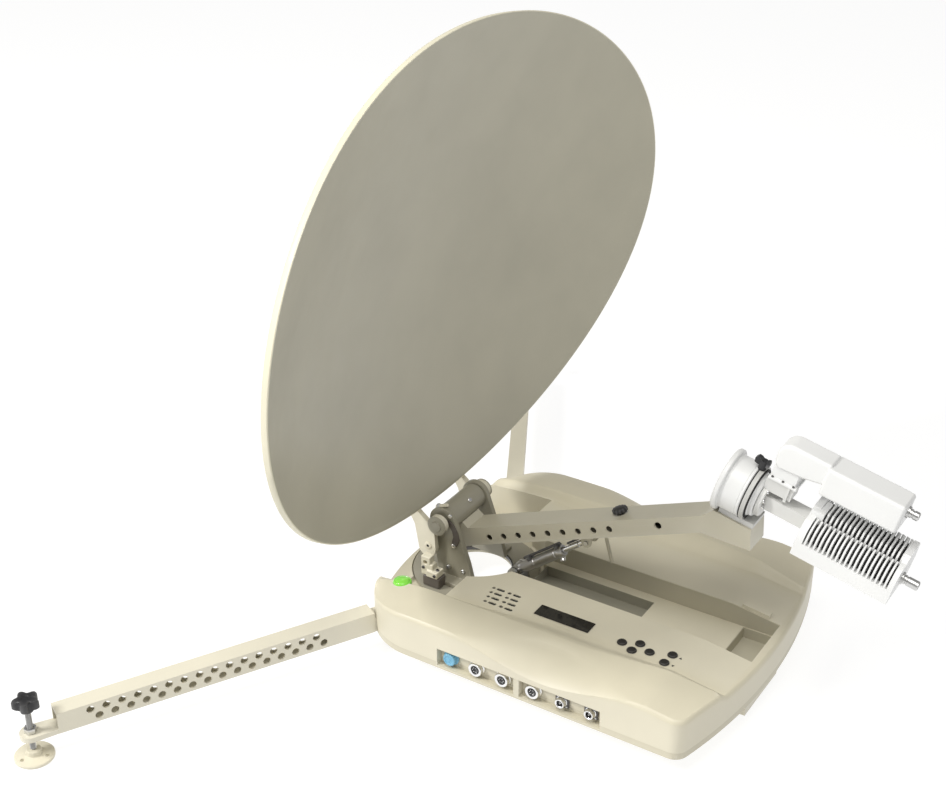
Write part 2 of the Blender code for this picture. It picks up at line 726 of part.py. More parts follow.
def make_boom():
    # The rear end rises to meet the cross tube, and the front end rises to
    # a seat that lies parallel to the feed axis.
    rear_y = TILT_Y + 2.0
    shoulder = [(rear_y, 124.0), (430.0, 124.0), (421.0, boom_top(421.0))]
    seat = [feed_point(0.0, -SEAT_DEPTH - FIT_GAP, along)[1:] for along in (4.0, 57.0)]
    outline = boom_outline(rear_y, 0.0, shoulder, seat + [(8.0, 225.0)])
    boom = extruded(outline, -BOOM_HALF_WIDTH, BOOM_HALF_WIDTH, SIDEWAYS)
    finish(boom, "boom", OLIVE)
    inner = BOOM_HALF_WIDTH - BOOM_WALL
    start = [(421.0, boom_top(421.0) - BOOM_WALL)]
    hollow = boom_outline(421.0, BOOM_WALL, start, [(12.0, 246.0), (11.0, 227.5)])
    cut(boom, extruded(hollow, -inner, inner, SIDEWAYS), "boom_hollow")
    groove = feed_rod((0.0, 0.0, -2.5), (0.0, 0.0, 9.5), FLANGE_RADIUS + 2.5, 48)
    cut(boom, groove, "boom_flange_groove")
    clearance = rod((-30.0, TILT_Y, TILT_Z), (30.0, TILT_Y, TILT_Z), TUBE_RADIUS + FIT_GAP, 40)
    cut(boom, clearance, "boom_tube_seat")
    for i in range(BOOM_HOLES):
        share = i / (BOOM_HOLES - 1)
        y = 386.0 + (203.0 - 386.0) * share
        z = 114.0 + (190.0 - 114.0) * share
        cut(boom, rod((-25.0, y, z), (25.0, y, z), BOOM_HOLE_RADIUS, 12), "boom_hole_%d" % (i + 1))
    outline = arc(ACTUATOR_HIGH, 7.5, 180.0, 360.0, 10)
    outline += [(y, boom_bottom(y) + 1.2) for y in (ACTUATOR_HIGH[0] + 7.5, ACTUATOR_HIGH[0] - 7.5)]
    for side, label in ((-1, "near"), (1, "far")):
        low, high = sorted((side * LUG_INNER, side * (LUG_INNER + LUG_THICK)))
        add(boom, extruded(outline, low, high, SIDEWAYS), "boom_lug_" + label)
    cut(boom, rod((-20.0, *ACTUATOR_HIGH), (20.0, *ACTUATOR_HIGH), PIN_RADIUS + FIT_GAP, 16), "boom_lug_bore")
    catch = rod((13.0, 228.0, boom_bottom(228.0) + 1.2), (13.0, 213.0, 116.0), 2.5, 12)
    add(boom, catch, "boom_catch")
    return boom


def make_elevation(axis):
    tube = rod((-TUBE_HALF, TILT_Y, TILT_Z), (TUBE_HALF, TILT_Y, TILT_Z), TUBE_RADIUS, 40)
    reach = STRUT_INNER_X + STRUT_THICK
    cut(tube, rod((-60.0, TILT_Y, TILT_Z), (60.0, TILT_Y, TILT_Z), SHAFT_RADIUS + FIT_GAP, 24), "tube_bore")
    finish(tube, "cross_tube", OLIVE)
    shaft = rod((-reach - 2.0, TILT_Y, TILT_Z), (reach + 2.0, TILT_Y, TILT_Z), SHAFT_RADIUS, 24)
    finish(shaft, "tilt_shaft", SILVER)
    pieces = [tube, shaft, make_boom()]
    for side, label in ((-1, "near"), (1, "far")):
        pieces.append(make_strut(side, label))
    pieces.append(make_reflector())
    inner = STRUT_INNER_X - FIT_GAP
    crossbar = box((-inner, 508.0, 255.0), (inner, 516.0, 285.0))
    finish(crossbar, "reflector_crossbar", CREAM)
    pieces.append(crossbar)
    knob = rod(above_boom(197.0, FIT_GAP), above_boom(197.0, 9.0), 10.0, 28, 8.5)
    finish(knob, "boom_knob", BLACK)
    pieces.append(knob)
    reach = LUG_INNER + LUG_THICK + 2.0
    pin = rod((-reach, *ACTUATOR_HIGH), (reach, *ACTUATOR_HIGH), PIN_RADIUS, 16)
    finish(pin, "boom_lug_pin", SILVER)
    pieces.append(pin)
    pieces.append(make_saddle())
    pieces.append(make_clamp_knob())
    ride(axis, *pieces)


def make_strut(side, label):
    outline = arc((464.0, 92.0), 14.0, 180.0, 360.0, 12)
    outline += [(484.0, 125.0), (503.0, 158.0), (520.0, 232.0), (530.0, 300.0)]
    outline += [(502.0, 300.0), (492.0, 232.0), (484.5, 175.0), (484.0, 150.0), (452.0, 126.0)]
    low, high = sorted((side * STRUT_INNER_X, side * (STRUT_INNER_X + STRUT_THICK)))
    strut = extruded(outline, low, high, SIDEWAYS)
    finish(strut, "strut_" + label, CREAM)
    ear = extruded(arc((TILT_Y, TILT_Z), 14.0, 0.0, 330.0, 20), low, high, SIDEWAYS)
    add(strut, ear, "strut_ear_" + label)
    ends = ((side * 45.0, TILT_Y, TILT_Z), (side * 70.0, TILT_Y, TILT_Z))
    cut(strut, rod(*ends, SHAFT_RADIUS + FIT_GAP, 24), "strut_bore_" + label)
    cut(strut, dish_solid(DISH_THICK + 0.6), "strut_dish_seat_" + label)
    return strut


def dish_point(x, height, back):
    """Point of the paraboloid; back moves it away from the focus along the beam."""
    beam = math.radians(DISH_BEAM_DEG)
    depth = (x * x + height * height) / (4 * DISH_FOCAL) - DISH_FOCAL - back
    y = DISH_FOCUS_Y + height * math.sin(beam) - depth * math.cos(beam)
    z = DISH_FOCUS_Z + height * math.cos(beam) + depth * math.sin(beam)
    return (x, y, z)


def dish_solid(thickness):
    rings = 9
    segments = 56
    mesh = bpy.data.meshes.new("dish")
    work = bmesh.new()
    centre = work.verts.new(scaled(dish_point(0.0, DISH_OFFSET, 0.0)))
    grid = []
    for ring in range(1, rings + 2):
        share = min(1.0, ring / rings)
        back = DISH_LIP if ring > rings else 0.0
        row = []
        for i in range(segments):
            angle = 2 * math.pi * i / segments
            x = DISH_HALF_WIDTH * share * math.cos(angle)
            height = DISH_OFFSET + DISH_HALF_HEIGHT * share * math.sin(angle)
            row.append(work.verts.new(scaled(dish_point(x, height, back))))
        grid.append(row)
    for i in range(segments):
        j = (i + 1) % segments
        work.faces.new((centre, grid[0][i], grid[0][j]))
        for inner, outer in zip(grid, grid[1:]):
            work.faces.new((inner[i], outer[i], outer[j], inner[j]))
    bmesh.ops.recalc_face_normals(work, faces=work.faces)
    work.to_mesh(mesh)
    work.free()
    obj = bpy.data.objects.new("dish", mesh)
    PARTS.objects.link(obj)
    modifier = obj.modifiers.new("thickness", "SOLIDIFY")
    modifier.thickness = thickness * MM
    modifier.offset = -1.0
    return obj


def make_reflector():
    dish = dish_solid(DISH_THICK)
    finish(dish, "reflector", DISH_GREY)
    smooth(dish, 40.0)
    return dish


def feed_basis():
    tilt = math.radians(FEED_TILT_DEG)
    # Column 0 is +X, column 2 points forward and down along the feed axis.
    basis = Matrix.Identity(4)
    basis.col[1] = (0.0, -math.sin(tilt), math.cos(tilt), 0.0)
    basis.col[2] = (0.0, -math.cos(tilt), -math.sin(tilt), 0.0)
    basis.col[0] = (-1.0, 0.0, 0.0, 0.0)
    basis.col[3] = (0.0, FEED_Y * MM, FEED_Z * MM, 1.0)
    return basis


def feed_point(u, v, w):
    """u is sideways toward -X, v is up across the feed axis, w runs forward along it."""
    return tuple(feed_basis() @ scaled((u, v, w)) / MM)


def feed_box(low, high):
    obj = box(low, high)
    obj.matrix_world = feed_basis() @ Matrix.Translation(obj.location)
    return obj


def feed_rod(start, end, radius, segments=32, radius_end=None):
    return rod(feed_point(*start), feed_point(*end), radius, segments, radius_end)


def make_saddle():
    saddle = feed_box((-FEED_HALF, -SEAT_DEPTH, 9.8), (FEED_HALF, -31.0, 57.0))
    finish(saddle, "feed_saddle", WHITE)
    ring = feed_rod((0.0, 0.0, CLAMP_START), (0.0, 0.0, CLAMP_END), BARREL_RADIUS, 40)
    add(saddle, ring, "saddle_ring")
    room_end = (0.0, 0.0, CLAMP_START - FIT_GAP)
    cut(saddle, feed_rod((0.0, 0.0, 5.0), room_end, BARREL_RADIUS + 0.4, 40), "saddle_cradle")
    cut(saddle, feed_rod((0.0, 0.0, 30.0), (0.0, 0.0, 50.0), NECK_RADIUS + 0.4, 40), "saddle_bore")
    return saddle


def make_clamp_knob():
    middle = 0.5 * (CLAMP_START + CLAMP_END)
    foot = BARREL_RADIUS + FIT_GAP
    knob = feed_rod((0.0, foot, middle), (0.0, 42.0, middle), 2.6, 16)
    finish(knob, "feed_clamp_knob", BLACK)
    add(knob, feed_rod((0.0, 41.0, middle), (0.0, 47.0, middle), 5.5, 20), "clamp_knob_hub")
    add(knob, feed_box((-2.5, 41.5, 31.0), (2.5, 48.5, 46.0)), "clamp_knob_wings")
    return knob


def make_feed(axis):
    horn = feed_rod((0.0, 0.0, 0.0), (0.0, 0.0, 7.0), FLANGE_RADIUS, 48)
    add(horn, feed_rod((0.0, 0.0, 5.0), (0.0, 0.0, BARREL_END), BARREL_RADIUS, 48), "horn_barrel")
    add(horn, feed_rod((0.0, 0.0, 30.0), (0.0, 0.0, 46.0), NECK_RADIUS, 48), "horn_neck")
    add(horn, feed_rod((0.0, 0.0, 46.0), (0.0, 0.0, 50.0), 27.0, 48), "horn_back")
    cut(horn, feed_rod((0.0, 0.0, -5.0), (0.0, 0.0, 42.0), 32.0, 48, 15.0), "horn_mouth")
    finish(horn, "feed_horn", WHITE)
    guide = feed_rod((0.0, 0.0, 50.3), (0.0, 0.0, 57.0), 24.0, 32)
    add(guide, feed_box((-11.0, -8.0, 56.0), (11.0, 11.0, BUC_START - FIT_GAP)), "guide_run")
    add(guide, feed_box((-12.0, 20.0, 50.3), (12.0, 38.4, 86.0)), "guide_arm")
    finish(guide, "wave_guide", WHITE)
    outline = [(58.0, 58.0), (52.0, 64.0)] + arc((67.0, 79.5), 16.0, 180.0, 90.0, 8)
    outline += [(LNB_START - FIT_GAP, 95.5), (LNB_START - FIT_GAP, 66.0), (91.0, 60.0)]
    elbow = extruded(outline, -FEED_HALF, FEED_HALF, feed_basis() @ ACROSS)
    finish(elbow, "lnb_elbow", WHITE)
    add(elbow, feed_box((-13.0, 38.7, 53.0), (13.0, 64.0, 86.0)), "elbow_neck")
    lnb = feed_box((-FEED_HALF, LNB_LOW, LNB_START), (FEED_HALF, LNB_TOP, LNB_END))
    add(lnb, feed_rod((0.0, 78.0, LNB_END - 2.0), (0.0, 78.0, LNB_END + 14.5), 5.5, 20), "lnb_plug")
    finish(lnb, "lnb_box", WHITE)
    right = [(BUC_HALF, BUC_LOW)] + arc((BUC_HALF - 24.0, -3.0), 24.0, 0.0, 90.0, 8) + [(8.0, BUC_TOP)]
    left = [(-across, up) for across, up in reversed(right)]
    buc = extruded(right + left, BUC_START, BUC_END, feed_basis())
    finish(buc, "buc_body", WHITE)
    add(buc, feed_rod((0.0, -9.0, BUC_END - 2.0), (0.0, -9.0, BUC_END + 22.0), 6.0, 20), "buc_plug")
    ride(axis, horn, guide, elbow, lnb, buc)


make_tray()
make_cover()
make_controls()
make_level()
make_connectors()
make_latch()
make_front_foot()
for leg_side, leg_label in ((-1, "near"), (1, "far")):
    make_leg(leg_side, leg_label)
    make_foot(leg_side, leg_label)
turn_axis = axis_empty("azimuth_axis", (0.0, TURN_Y, RING_TOP_Z))
make_turntable(turn_axis)
make_actuator(turn_axis)
tilt_axis = axis_empty("elevation_axis", (0.0, TILT_Y, TILT_Z), turn_axis)
make_elevation(tilt_axis)
feed_axis = axis_empty("polarisation_axis", (0.0, FEED_Y, FEED_Z), tilt_axis)
make_feed(feed_axis)
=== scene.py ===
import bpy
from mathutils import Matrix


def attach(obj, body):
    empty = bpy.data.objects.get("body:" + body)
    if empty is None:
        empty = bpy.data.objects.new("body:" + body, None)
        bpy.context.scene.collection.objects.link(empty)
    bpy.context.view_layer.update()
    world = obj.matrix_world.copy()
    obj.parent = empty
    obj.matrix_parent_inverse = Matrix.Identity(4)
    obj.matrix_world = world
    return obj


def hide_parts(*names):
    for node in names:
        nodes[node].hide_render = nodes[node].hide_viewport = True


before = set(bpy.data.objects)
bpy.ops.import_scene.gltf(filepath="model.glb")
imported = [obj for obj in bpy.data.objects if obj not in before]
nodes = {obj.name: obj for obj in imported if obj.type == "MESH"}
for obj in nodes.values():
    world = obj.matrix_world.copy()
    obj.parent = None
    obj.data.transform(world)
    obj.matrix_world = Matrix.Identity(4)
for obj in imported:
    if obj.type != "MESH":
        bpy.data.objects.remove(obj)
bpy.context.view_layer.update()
print("frame loaded")

import math

import bmesh
import bpy
from mathutils import Matrix, Vector

mm = 0.001

# camera, at the angle of the photograph

cameraView = {
    "place": (-1.5837, -0.5760, 1.3009), "azimuth": -57.68, "elevation": 28.0, "lens": 60.0,
    "sensor": 36.0, "farClip": 50.0,
}


def makeCamera(v):
    data = bpy.data.cameras.new("viewCamera")
    data.lens = v["lens"]
    data.sensor_width = v["sensor"]
    data.clip_end = v["farClip"]
    camera = bpy.data.objects.new("viewCamera", data)
    bpy.context.scene.collection.objects.link(camera)
    camera.location = v["place"]
    a = math.radians(v["azimuth"])
    e = math.radians(v["elevation"])
    back = Vector((math.sin(a) * math.cos(e), -math.cos(a) * math.cos(e), math.sin(e)))
    camera.rotation_euler = (-back).to_track_quat("-Z", "Y").to_euler()
    bpy.context.scene.camera = camera
    bpy.context.scene.view_settings.view_transform = "Standard"


makeCamera(cameraView)
print("camera placed")

# finishes

# colour, roughness, tone drift, grain scale, grain depth, wear on edges
finishes = {
    "ivoryShell": ((0.66, 0.615, 0.475), 0.42, 0.05, 900, 0.10, 0.25),
    "creamPaint": ((0.68, 0.64, 0.51), 0.38, 0.05, 420, 0.12, 0.30),
    "olivePaint": ((0.30, 0.281, 0.216), 0.36, 0.06, 420, 0.12, 0.35),
    "boomPaint": ((0.50, 0.47, 0.37), 0.36, 0.05, 420, 0.12, 0.35),
    "dishPaint": ((0.43, 0.408, 0.318), 0.34, 0.05, 520, 0.07, 0.2),
    # rimPaintAndHighlight: lighter than the face, partly cream paint of the back and partly a
    # painted highlight on the rim lip
    "rimPaintAndHighlight": ((0.68, 0.645, 0.50), 0.4, 0.04, 520, 0.08, 0.2),
    "whitePaint": ((0.76, 0.765, 0.76), 0.36, 0.03, 520, 0.10, 0.25),
    "greyPlate": ((0.50, 0.50, 0.48), 0.40, 0.04, 420, 0.12, 0.3),
    "castGrey": ((0.44, 0.44, 0.43), 0.45, 0.06, 260, 0.25, 0.35),
    "guidePaint": ((0.62, 0.62, 0.60), 0.35, 0.04, 420, 0.12, 0.3),
    "darkPlate": ((0.035, 0.03, 0.028), 0.3, 0.1, 500, 0.12, 0.6),
    # trayToneAndShade: a little darker than the cover, partly the tray's own tone and partly
    # painted shade of the lower walls
    "trayToneAndShade": ((0.60, 0.56, 0.435), 0.46, 0.05, 380, 0.2, 0.35),
    # recessShade and pocketShade: the moulding's colour darkened, painted shade in the recesses
    "recessShade": ((0.47, 0.44, 0.335), 0.5, 0.05, 420, 0.12, 0.2),
    "pocketShade": ((0.30, 0.285, 0.22), 0.5, 0.06, 420, 0.12, 0.2),
    # darkSlot: dark brown, painted shadow inside a slot and under a block
    "darkSlot": ((0.085, 0.070, 0.058), 0.4, 0.2, 500, 0.15, 0.6),
    # finShadow: near-black, painted shadow for deep gaps, slots, grooves and holes
    "finShadow": ((0.018, 0.018, 0.018), 0.8, 0.1, 400, 0.1, 0.0),
    "blackKnob": ((0.016, 0.016, 0.018), 0.42, 0.15, 700, 0.18, 0.6),
    "blackRod": ((0.012, 0.012, 0.013), 0.25, 0.1, 700, 0.08, 0.5),
    "buttonRubber": ((0.016, 0.014, 0.012), 0.5, 0.1, 900, 0.15, 0.8),
    "blueCap": ((0.16, 0.42, 0.60), 0.35, 0.06, 600, 0.1, 0.4),
    "markInk": ((0.05, 0.045, 0.04), 0.6, 0.05, 900, 0.02, 0.0),
}
# colour, roughness, brush stretch, brush depth
metals = {
    "brushedSteel": ((0.62, 0.62, 0.61), 0.30, (900, 60, 900), 0.12),
    "actuatorTube": ((0.55, 0.54, 0.53), 0.32, (900, 90, 90), 0.10),
    "chromeRing": ((0.82, 0.82, 0.82), 0.12, (500, 500, 500), 0.03),
}
# colour, roughness, clear coat
glosses = {
    "displayGlass": ((0.010, 0.010, 0.011), 0.12, 0.3),
    "levelGreen": ((0.23, 0.72, 0.07), 0.16, 0.8),
}

paintGrain = {
    "ior": 1.48, "clouds": 9.0, "rampStart": 0.3, "rampEnd": 0.7, "wornFrom": 0.53, "wornTo": 0.66,
    "wornPale": 0.25, "patches": 35.0, "smoother": 0.06, "rougher": 0.08, "height": 0.0004,
}
metalGrain = {"darker": 0.86, "lighter": 1.1, "smoother": 0.75, "rougher": 1.35, "height": 0.0002}
smears = {
    "scale": 60.0, "darker": 0.85, "lighter": 1.15, "smoother": 0.7, "rougher": 1.5,
    "coatRoughness": 0.05,
}


def link(tree, a, b):
    tree.links.new(a, b)


def newMaterial(name):
    material = bpy.data.materials.new(name)
    material.use_nodes = True
    return material, material.node_tree, material.node_tree.nodes["Principled BSDF"]


def noise(tree, scale, detail, coords, stretch=None):
    node = tree.nodes.new("ShaderNodeTexNoise")
    node.inputs["Scale"].default_value = scale
    node.inputs["Detail"].default_value = detail
    if stretch:
        mapping = tree.nodes.new("ShaderNodeMapping")
        mapping.inputs["Scale"].default_value = stretch
        link(tree, coords.outputs["Object"], mapping.inputs["Vector"])
        link(tree, mapping.outputs["Vector"], node.inputs["Vector"])
    else:
        link(tree, coords.outputs["Object"], node.inputs["Vector"])
    return node


def shade(colour, k):
    return (min(1.0, colour[0] * k), min(1.0, colour[1] * k), min(1.0, colour[2] * k), 1.0)


# colour that wanders between a darker and a lighter tone
def toneRamp(tree, pattern, colour, darker, lighter):
    tone = tree.nodes.new("ShaderNodeValToRGB")
    tone.color_ramp.elements[0].color = shade(colour, darker)
    tone.color_ramp.elements[1].color = shade(colour, lighter)
    link(tree, pattern.outputs["Fac"], tone.inputs["Fac"])
    return tone


def spreadRoughness(tree, shader, pattern, low, high):
    spread = tree.nodes.new("ShaderNodeMapRange")
    spread.inputs["To Min"].default_value = low
    spread.inputs["To Max"].default_value = high
    link(tree, pattern.outputs["Fac"], spread.inputs["Value"])
    link(tree, spread.outputs["Result"], shader.inputs["Roughness"])


def raiseGrain(tree, shader, pattern, depth, height):
    bump = tree.nodes.new("ShaderNodeBump")
    bump.inputs["Strength"].default_value = depth
    bump.inputs["Distance"].default_value = height
    link(tree, pattern.outputs["Fac"], bump.inputs["Height"])
    link(tree, bump.outputs["Normal"], shader.inputs["Normal"])


# paler paint where an edge sticks out
def wearEdges(tree, source, colour, amount, v):
    geometry = tree.nodes.new("ShaderNodeNewGeometry")
    worn = tree.nodes.new("ShaderNodeMapRange")
    worn.inputs["From Min"].default_value = v["wornFrom"]
    worn.inputs["From Max"].default_value = v["wornTo"]
    worn.inputs["To Max"].default_value = amount
    link(tree, geometry.outputs["Pointiness"], worn.inputs["Value"])
    mix = tree.nodes.new("ShaderNodeMix")
    mix.data_type = "RGBA"
    link(tree, worn.outputs["Result"], mix.inputs["Factor"])
    link(tree, source, mix.inputs["A"])
    pale = [v["wornPale"] + (1.0 - v["wornPale"]) * c for c in colour]
    mix.inputs["B"].default_value = shade(pale, 1.0)
    return mix.outputs["Result"]


# moulded or painted faces: slow tone drift, worn edges and fine grain
def paintFinish(name, row, v):
    colour, roughness, drift, grainScale, grainDepth, wornEdge = row
    material, tree, shader = newMaterial(name)
    coords = tree.nodes.new("ShaderNodeTexCoord")
    shader.inputs["IOR"].default_value = v["ior"]
    clouds = noise(tree, v["clouds"], 4.0, coords)
    tone = toneRamp(tree, clouds, colour, 1.0 - drift, 1.0 + drift)
    tone.color_ramp.elements[0].position = v["rampStart"]
    tone.color_ramp.elements[1].position = v["rampEnd"]
    source = tone.outputs["Color"]
    if wornEdge:
        source = wearEdges(tree, source, colour, wornEdge, v)
    link(tree, source, shader.inputs["Base Color"])
    patches = noise(tree, v["patches"], 5.0, coords)
    spreadRoughness(tree, shader, patches, roughness - v["smoother"], roughness + v["rougher"])
    grain = noise(tree, grainScale, 2.0, coords)
    raiseGrain(tree, shader, grain, grainDepth, v["height"])
    return material


# bare metal, brushed along one direction
def metalFinish(name, row, v):
    colour, roughness, stretch, brushDepth = row
    material, tree, shader = newMaterial(name)
    coords = tree.nodes.new("ShaderNodeTexCoord")
    shader.inputs["Metallic"].default_value = 1.0
    brush = noise(tree, 1.0, 3.0, coords, stretch)
    tone = toneRamp(tree, brush, colour, v["darker"], v["lighter"])
    link(tree, tone.outputs["Color"], shader.inputs["Base Color"])
    spreadRoughness(tree, shader, brush, roughness * v["smoother"], roughness * v["rougher"])
    raiseGrain(tree, shader, brush, brushDepth, v["height"])
    return material


# glass and clear plastic with faint smears
def glossFinish(name, row, v):
    colour, roughness, coatWeight = row
    material, tree, shader = newMaterial(name)
    coords = tree.nodes.new("ShaderNodeTexCoord")
    smear = noise(tree, v["scale"], 4.0, coords)
    tone = toneRamp(tree, smear, colour, v["darker"], v["lighter"])
    link(tree, tone.outputs["Color"], shader.inputs["Base Color"])
    spreadRoughness(tree, shader, smear, roughness * v["smoother"], roughness * v["rougher"])
    shader.inputs["Coat Weight"].default_value = coatWeight
    shader.inputs["Coat Roughness"].default_value = v["coatRoughness"]
    return material


look = {name: paintFinish(name, row, paintGrain) for name, row in finishes.items()}
look.update({name: metalFinish(name, row, metalGrain) for name, row in metals.items()})
look.update({name: glossFinish(name, row, smears) for name, row in glosses.items()})
print("finishes ready:", len(look))

# mesh helpers, all lengths in millimetres

flat = Matrix.Identity(4)  # outline on the floor plane, extrusion upwards
# outline runs along +Y and +Z, extrusion along +X
sideways = Matrix(((0, 0, 1, 0), (1, 0, 0, 0), (0, 1, 0, 0), (0, 0, 0, 1)))


def fromBmesh(work, name, material=None):
    bmesh.ops.recalc_face_normals(work, faces=work.faces)
    mesh = bpy.data.meshes.new(name)
    work.to_mesh(mesh)
    work.free()
    obj = bpy.data.objects.new(name, mesh)
    bpy.context.scene.collection.objects.link(obj)
    if material:
        paint(obj, material)
    return obj


def paint(obj, material):
    obj.data.materials.append(look[material])
    return obj


def smooth(obj, degrees=35.0):
    obj.data.shade_smooth()
    obj.data.set_sharp_from_angle(angle=math.radians(degrees))
    return obj


def arc(centre, radius, start, end, steps):
    points = []
    for i in range(steps + 1):
        a = math.radians(start + (end - start) * i / steps)
        points.append((centre[0] + radius * math.cos(a), centre[1] + radius * math.sin(a)))
    return points


# closed rings of vertices, joined one to the next by four-sided faces
def skinRings(work, rings):
    for first, second in zip(rings, rings[1:]):
        for i in range(len(first)):
            j = (i + 1) % len(first)
            work.faces.new((first[i], first[j], second[j], second[i]))


def prism(name, outline, low, high, where=flat, material=None):
    work = bmesh.new()
    bottom = [work.verts.new((u * mm, v * mm, low * mm)) for u, v in outline]
    top = [work.verts.new((u * mm, v * mm, high * mm)) for u, v in outline]
    work.faces.new(bottom)
    work.faces.new(top)
    skinRings(work, (bottom, top))
    bmesh.ops.transform(work, matrix=where, verts=work.verts)
    return fromBmesh(work, name, material)


def block(name, low, high, where=flat, material=None):
    outline = [(low[0], low[1]), (high[0], low[1]), (high[0], high[1]), (low[0], high[1])]
    return prism(name, outline, low[2], high[2], where, material)


def loft(name, sections, material=None):
    work = bmesh.new()
    rings = [[work.verts.new(Vector(p) * mm) for p in section] for section in sections]
    skinRings(work, rings)
    work.faces.new(rings[0])
    work.faces.new(list(reversed(rings[-1])))
    return fromBmesh(work, name, material)


def axisPlace(origin, direction):
    turn = Vector((0, 0, 1)).rotation_difference(Vector(direction)).to_matrix().to_4x4()
    return Matrix.Translation(Vector(origin) * mm) @ turn


# profile is pairs of radius and height, spun about the local Z axis
def lathe(name, profile, where, segments=48, material=None, wave=None):
    work = bmesh.new()
    rings = []
    for radius, height in profile:
        if radius <= 0.001:
            rings.append([work.verts.new((0, 0, height * mm))])
            continue
        ring = []
        for i in range(segments):
            a = 2 * math.pi * i / segments
            r = (radius + (wave(a, radius, height) if wave else 0.0)) * mm
            ring.append(work.verts.new((r * math.cos(a), r * math.sin(a), height * mm)))
        rings.append(ring)
    for first, second in zip(rings, rings[1:]):
        if len(first) == 1 and len(second) == 1:
            continue
        for i in range(segments):
            j = (i + 1) % segments
            if len(first) == 1:
                work.faces.new((first[0], second[i], second[j]))
            elif len(second) == 1:
                work.faces.new((first[i], first[j], second[0]))
            else:
                work.faces.new((first[i], first[j], second[j], second[i]))
    if len(rings[0]) > 1 and len(rings[-1]) > 1 and profile[0] == profile[-1]:
        bmesh.ops.remove_doubles(work, verts=work.verts, dist=1e-7)  # closes a tube onto itself
    bmesh.ops.transform(work, matrix=where, verts=work.verts)
    return smooth(fromBmesh(work, name, material))


def cylinder(name, start, end, radius, segments=32, material=None):
    axis = Vector(end) - Vector(start)
    profile = [(0, 0), (radius, 0), (radius, axis.length), (0, axis.length)]
    return lathe(name, profile, axisPlace(start, axis), segments, material)


# modifiers become plain mesh
def settle(obj):
    bpy.context.view_layer.update()
    mesh = bpy.data.meshes.new_from_object(obj.evaluated_get(bpy.context.evaluated_depsgraph_get()))
    obj.modifiers.clear()
    obj.data = mesh
    return obj


def boolean(obj, tools, operation="DIFFERENCE"):
    for tool in tools:
        modifier = obj.modifiers.new("cut", "BOOLEAN")
        modifier.operation = operation
        modifier.solver = "EXACT"
        modifier.object = tool
    settle(obj)
    for tool in tools:
        bpy.data.objects.remove(tool, do_unlink=True)
    return obj


def joinMeshes(name, objects):
    work = bmesh.new()
    for obj in objects:
        work.from_mesh(obj.data)
        bpy.data.objects.remove(obj, do_unlink=True)
    return fromBmesh(work, name)


def soften(obj, width, segments=2, angle=40.0, shadeAngle=35.0):
    bevel = obj.modifiers.new("soft edges", "BEVEL")
    bevel.width = width * mm
    bevel.segments = segments
    bevel.limit_method = "ANGLE"
    bevel.angle_limit = math.radians(angle)
    bevel.harden_normals = True
    smooth(obj, shadeAngle)
    return obj


# a solid of the part, kept as it is under a finish and softer edges
def dress(node, material, width=0.0, segments=2):
    obj = nodes[node]
    obj.data.materials.clear()
    paint(obj, material)
    if width:
        soften(obj, width, segments)
    else:
        smooth(obj)


def place(obj, body, slot, *replaced):
    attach(obj, body)
    if replaced:
        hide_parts(*replaced)
    return obj


# housing: cover over a tray

housing = {
    "halfWidth": 214.0, "rearY": 488.0, "corner": 90.0, "frontBulge": 31.0, "rearBulge": 28.0,
    "frontCorner": 20.0, "edgeRound": 7.0, "wallLow": 37.0, "underZ": 42.3, "edgeZ": 95.0,
    "panelZ": 91.0, "panelHalf": 126.0, "ridgeX": 156.0, "ridgeRise": 12.0, "scallopDepth": 43.0,
    "scallopY": 195.0, "scallopHalf": 150.0, "bayHalf": 143.0, "bayFront": 380.0, "bayRear": 540.0,
    "turnY": 420.0, "wellRadius": 97.0, "troughHalf": 46.0, "troughFloor": 61.0,
    "troughFront": -18.0, "pocketHalf": 31.0, "pocketFront": 155.0, "pocketFloor": 45.0,
    "pocketCut": 70.0, "lip": 2.0, "dipRear": 31.0,  # the shallow recess in the front of the trough
    "recessDepth": 11.0, "recessFront": 107.0, "recessRear": 346.0, "recessTop": 63.0,
    "cutLow": 30.0, "cutHigh": 130.0, "trayInset": 0.5, "trayLow": 10.0, "trayHigh": 70.0,
}
# how the deck rises and falls from the front (low y) to the rear
deck = {
    "fallFrom": 50.0, "fall": 0.14, "flare": (230.0, 366.0), "ridgeFrom": 150.0, "ridgeTurn": 0.13,
    "ridgeFade": (-60.0, 20.0), "rearFall": (380.0, 480.0), "rearDrop": 13.0, "panelEdge": 10.0,
    "crown": 1.6, "edgeIn": 3.0, "edgeFall": 0.85, "edgeLift": 2.0, "rollDrop": 4.0,
    "scallopDrop": 27.0, "cornerPull": 0.3, "cornerDrop": 0.5, "cornerFall": 11.0, "beyond": 4.0,
    "cornerReach": 77.0,
}
stations = {"first": -45.0, "pitch": 5.0, "count": 116}
levelButton = {"x": -153.0, "y": 441.0, "radius": 12.5, "gap": 0.3, "seat": 2.5, "sunk": 2.2}


